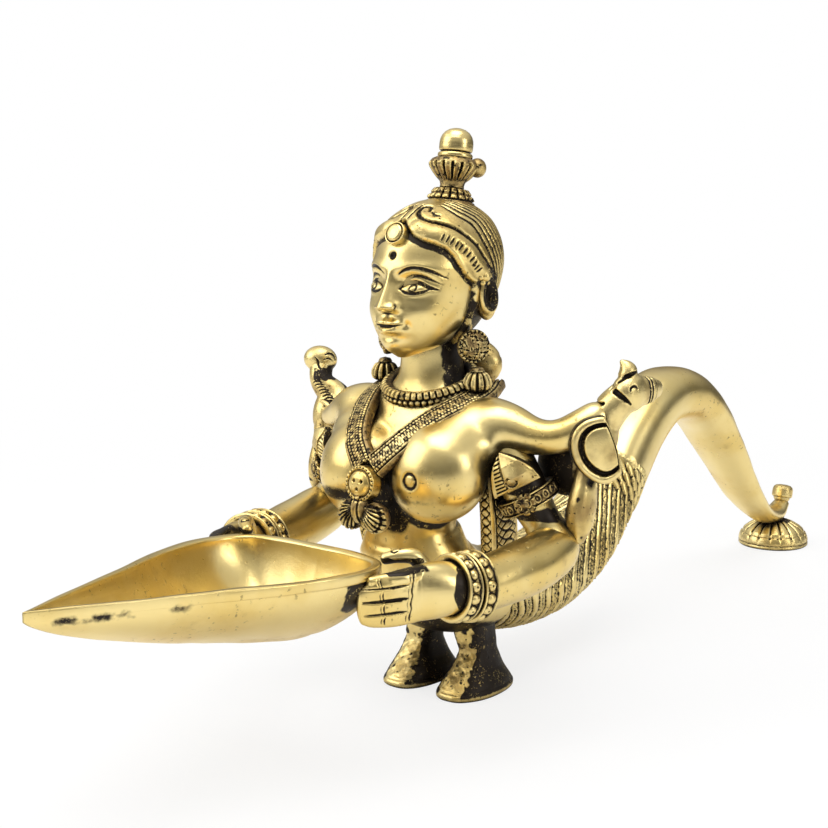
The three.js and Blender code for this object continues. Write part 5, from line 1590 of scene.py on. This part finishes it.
hx, hy, hz = SKULL_AT
neck_rows = [
    (BIRD_X + 0.2, BIRD_Y + 1.2, BIRD_Z + 3.5, 4.6),
    ((BIRD_X + hx) / 2 - 0.3, (BIRD_Y + hy) / 2, BIRD_Z + 7.4, 4.4),
    (hx - 0.8, hy - 0.8, hz - 0.8, 4.2),
]
bill_rows = [
    (hx + 0.2, hy + SKULL_R * 0.4, hz, 4.2),
    (hx + 1.2, hy + SKULL_R + BEAK * 0.22, hz + 0.1, 3.5),
    (hx + 1.8, hy + SKULL_R + BEAK * 0.6, hz + 0.1, 2.3),
]
tuft_rows = [
    (hx - 0.4, hy - 0.3, hz + 3.6, 2.4, 2.6),
    (hx - 0.5, hy - 0.4, hz + 5.6, 2.3, 2.5),
    (hx - 1.0, hy - 0.8, hz + 6.9, 1.6, 1.7),
    (hx - 1.6, hy - 1.3, hz + 7.8, 0.7, 0.7),
]
parts = [ball((BIRD_X, BIRD_Y, BIRD_Z), BIRD_SIZE, (-0.3, 0, 0), 64), ball(WEB_AT, WEB_SIZE, segments=48)]
parts += [ball(SKULL_AT, (SKULL_R * 0.86, SKULL_R * 1.08, SKULL_R), segments=48), rod(neck_rows, 30, 40)]
parts += [rod(bill_rows, 30, 40), rod(tuft_rows, 24, 32), rod(TRAIN, 60, 32, power=2.6)]
bird = melted(parts, 0.25, 8)


def girdles(rows, places, lean=(0, 0, 0)):
    """Marks round a run at shares of its length."""
    run = through(rows, 200)
    side, up = square_on(run, (1, 0, 0))
    marks = []
    for place in places:
        k = min(199, int(place * 199))
        turn = np.linspace(0, 2 * math.pi, 70)
        marks.append(
            run[k, :3] + np.outer(np.cos(turn) * run[k, 3], side[k])
            + np.outer(np.sin(turn) * run[k, 3], up[k])
        )
    return np.concatenate(marks)


EYELID = [(-0.5, 1.0, 0.5), (-0.2, 1.9, 0.8), (0.6, 2.3, 0.9), (1.4, 2.0, 0.8), (1.7, 1.4, 0.4)]
OUTER_CHEEK = [
    [(-3.3, 3.0, 1.0), (-2.0, 3.9, 1.4), (-0.4, 4.8, 1.4), (1.0, 5.2, 1.2), (2.0, 5.4, 0.8)],
    [(-4.2, 0.9, 1.6), (-2.6, -0.4, 1.7), (-1.2, -1.5, 1.2), (-0.2, -2.4, 0.6)],
]
INNER_CHEEK = [[(-1.6, -2.2, 1.2), (0.4, -2.6, 1.8), (2.4, -2.2, 2.0), (4.2, -1.4, 1.6)]]

bird_lines = [scribe(bird, girdles(bill_rows, (0.28, 0.4)), 0.5, 0.55)]
bird_lines.append(0.7 * scribe(bird, girdles(bill_rows, (0.66,)), 0.3, 0.25))
detail = []
for side in (1, -1):
    across, way = np.array((0.78 * side, 0.62, 0)), (-0.62 * side, 0.78, 0)

    def drawn(rows):
        """Marks on one side of the head, from rows of (forward, up, share)."""
        marks = through([(*(np.array(SKULL_AT) + across * u + (0, 0, v)), s) for u, v, s in rows], 90)
        return onto(bird, marks, way)

    detail += [drawn(rows) for rows in (EYELID, *(OUTER_CHEEK if side == 1 else INNER_CHEEK))]
bird_lines.append(carve(bird, np.concatenate(detail), 0.5, 0.75))
x, y, z = points_of(bird).T
worn_off = uneven(points_of(bird), 2.6, 41)
pits = np.exp(-((y + 0.4) ** 2 + (z - 62.5) ** 2) / 1.6) + np.exp(-((y - 3.6) ** 2 + (z - 61.5) ** 2) / 1.6)
swell(bird, -0.9 * pits * (x > 43))
# Patina and painted shade in the recess where the bird's inner part meets the arm.
recess_patina_and_shade = (1 - soft_step(x, 40.2, 41.2)) * within(z, 54, 56, 71, 73)
bird_lines += [0.9 * recess_patina_and_shade, 0.9 * pits * (x > 43), 0.5 * soft_step(worn_off, 0.7, 1.3) * (z < 68)]
held_in = points_of(bird)
held_in[:, 0] -= 0.38 * np.clip(held_in[:, 0] - 53.3, 0, None)
move_points(bird, held_in)
settle(
    bird, "left_looking_bird", engraved, ["left_bird"], reach=7, hollow=(0.04, 0.18), wave=0.06,
    soot=np.clip(np.max(bird_lines, 0), 0, 1)
)

# The bird on her right has a plain round head without a crest, and a ladder of short cuts down its breast.
far_neck = [
    (-49.4, 6.2, 83.4, 3.4), (-47.5, 4.1, 78.6, 3.3), (-43.5, 5.6, 73.9, 4.4),
    (-40.5, 5.3, 70.4, 4.8),
]
parts = [ball((-BIRD_X + 0.4, BIRD_Y, BIRD_Z - 3), (4.4, 4.8, 7.6), (-0.3, 0, 0), 64)]
parts.append(ball((-WEB_AT[0], *WEB_AT[1:]), WEB_SIZE, (0, 0, 0), 48))
parts.append(rod(far_neck, 40, 40, (0, 1, 0)))
parts.append(ball((-49.8, 6.2, 84.3), (4.8, 3.9, 3.9), (0, 0.12, 0.67), 48))
parts.append(rod([(-row[0], *row[1:]) for row in TRAIN], 60, 32, power=2.6))
far_bird = melted(parts, 0.25, 8)
LADDER_TOP, LADDER_FOOT = np.array((-48.5, 3.7, 78.8)), np.array((-41.2, 4.8, 70.9))
bars = []
for k in np.linspace(0, 1, 12):
    at = LADDER_TOP * (1 - k) + LADDER_FOOT * k
    bar = [
        (*(at + np.array((0.78, 0.62, 0.1 - 0.2 * u)) * u), 1 - 0.4 * abs(u) / 1.5)
        for u in (-1.5, -0.5, 0.5, 1.5)
    ]
    bars.append(onto(far_bird, through(bar, 16), VIEW_WAY))
far_lines = [carve(far_bird, np.concatenate(bars), 0.34, 0.4)]
brow = [(-50.9, 5.3, 85.4, 0.6), (-50.2, 5.9, 84.2, 1.0), (-50.0, 6.0, 82.9, 1.0), (-49.4, 6.5, 82.0, 0.7)]
far_lines.append(scribe(far_bird, through(brow, 40), 0.4, 0.4, VIEW_WAY))
lid = [(-48.6, 7.1, 86.0, 0.6), (-47.6, 7.9, 86.3, 1.1), (-46.6, 8.7, 85.4, 1.1), (-46.4, 8.9, 84.4, 0.5)]
cheek = [(-49.0, 6.8, 84.6, 0.5), (-47.8, 7.8, 84.9, 0.8), (-46.9, 8.5, 84.2, 0.5)]
for rows in (lid, cheek):
    far_lines.append(scribe(far_bird, through(rows, 40), 0.42, 0.4, VIEW_WAY))
x, y, z = points_of(far_bird).T
facing = points_of(far_bird, "normal")
frayed = uneven(points_of(far_bird), 1.8, 44)
# Painted shade on the neck under the head and on the side of the bird turned in towards her.
under_head_shade = (
    within(z + 0.5 * frayed, 78.9, 79.8, 81.6, 82.6)
    * soft_step((x + 49.4) * 0.78 + (y - 6.2) * 0.62, -2.4, -1.4)
)
inner_side_shade = soft_step(facing @ (0.78, 0.62, 0.0), 0.45, 0.75) * within(z, 69, 71, 82, 83.5)
worn_off = uneven(points_of(far_bird), 2.6, 43)
far_lines += [under_head_shade, inner_side_shade, 0.5 * soft_step(worn_off, 0.7, 1.3) * (z < 68)]
settle(
    far_bird, "right_looking_bird", engraved, ["right_bird"], reach=7, hollow=(0.04, 0.18), wave=0.06,
    soot=np.clip(np.max(far_lines, 0), 0, 1)
)


l, w = WING_LONG, WING_WIDE
drop = np.vstack(
    [
        arc((0, l * 0.5), (-w * 0.6, l * 0.5), (-w * 0.72, -l * 0.1), (-w * 0.2, -l * 0.42), count=40),
        arc((-w * 0.2, -l * 0.42), (0, -l * 0.54), (w * 0.22, -l * 0.42)),
        arc((w * 0.22, -l * 0.42), (w * 0.5, -l * 0.16), (w * 0.62, l * 0.5), (0, l * 0.5), count=40),
    ]
)
drop = drop * (1.08, 1.06)
drop[:, 0] = np.where(
    drop[:, 0] > 0, np.minimum(drop[:, 0] * 1.35, 4.7 - 0.012 * drop[:, 1] ** 2), drop[:, 0]
)
drop = outlined([drop], 220)
lean, facing = WING_LEAN, WING_FACING
INNER_AT = np.array((2.7, 0.6))  # the inner teardrop runs into the outer edge of the wing


def reach_of(outline, at, u, v):
    """How far out a place is, from 0 at a middle to 1 on an outline."""
    spokes = outline - at
    turns = np.arctan2(spokes[:, 1], spokes[:, 0])
    order = np.argsort(turns)
    length = np.hypot(*spokes.T)
    there = np.interp(np.arctan2(v - at[1], u - at[0]), turns[order], length[order], period=2 * math.pi)
    return np.hypot(u - at[0], v - at[1]) / there


def on_wing(rows):
    u, v, high = rows[..., 0], rows[..., 1], rows[..., 2]
    over, tall = u * math.cos(lean) - v * math.sin(lean), u * math.sin(lean) + v * math.cos(lean)
    front = high > 1.2
    inner = reach_of(drop, INNER_AT, u, v)
    out = reach_of(drop, np.array((0, 0.4)), u, v)
    left = soft_step(-u, -5.0, -3.2)
    raised = 0.9 * np.sqrt(np.clip(1 - (inner / 0.7) ** 2, 0, 1))
    high = high + front * (raised - 1.2 * groove(inner - 0.72, 0.085) * left)
    high = high + front * 0.35 * np.sin(np.clip((out - 0.74) / 0.26, 0, 1) * math.pi) * left
    x = over * math.cos(facing) + high * math.sin(facing)
    y = over * math.sin(facing) - high * math.cos(facing)
    return np.stack([x, y, tall], -1) + np.array(WING_AT)


side_steps = [
    (0.02, -0.7), (0.9, -0.7), (0.98, -0.3), (1, 0.3), (1, 1.7), (0.975, 2.25), (0.93, 2.5),
    (0.85, 2.6), (0.02, 2.7),
]
wing = relief(drop, spaced(np.array(side_steps), 92, (6, 1)), np.array((0, 0.4)), on_wing)
# Painted shade on the edges and back of the wing that turn away from its front.
turned_away_shade = 1 - soft_step(points_of(wing, "normal") @ (math.sin(facing), -math.cos(facing), 0), 0.2, 0.55)
settle(
    wing, "left_teardrop_wing", engraved, ["left_wing"], reach=6, hollow=(0.03, 0.15), wave=0.06,
    soot=turned_away_shade
)
right_wing = twin(wing, ["right_wing"])
hinge = points_of(right_wing).mean(0)
facing_front = np.array(Matrix.Rotation(RIGHT_WING_TURN, 3, "Z"))
right_points = (points_of(right_wing) - hinge) @ facing_front.T * RIGHT_WING_SIZE + hinge
move_points(right_wing, right_points + np.array(RIGHT_WING_SHIFT) / 1000)

# A broad strap with a cross-hatched face ties the hip to the back of the armpit.
rings = tube(SASH, 160, 124, power=3.4)
run = through(SASH, 160)
length = lengths(run[:, :3])[:, None]
turn = round_turns(124)[None, :]
deep = np.sign(np.sin(turn)) * np.abs(np.sin(turn)) ** (2 / 3.4) * run[:, 4:5]
outer_face = soft_step(np.cos(turn), 0.35, 0.6)
girth = turn * 12 / (2 * math.pi)
one, two = length / HATCH + girth, length / HATCH - girth
hatch = np.maximum(groove(off_whole(one) * HATCH, 0.26), groove(off_whole(two) * HATCH, 0.26))
past_border = np.abs(deep) - run[:, 4:5] * 0.78
amount = np.where((past_border > 0) & (outer_face > 0), 0.2, -0.5 * hatch)
amount = amount - 0.5 * groove(past_border, 0.3) * outer_face
middle = run[:, None, :3]
outward = (rings - middle) / np.linalg.norm(rings - middle, axis=2, keepdims=True)
sash = skin(rounded_ends(rings + outward * amount[..., None]))
pair(sash, "hatched_sash", engraved, ["sash"], reach=5, hollow=(0.02, 0.13), wave=0.04)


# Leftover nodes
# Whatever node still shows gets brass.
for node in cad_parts.values():
    for material_slot in node.material_slots:
        material_slot.material = engraved
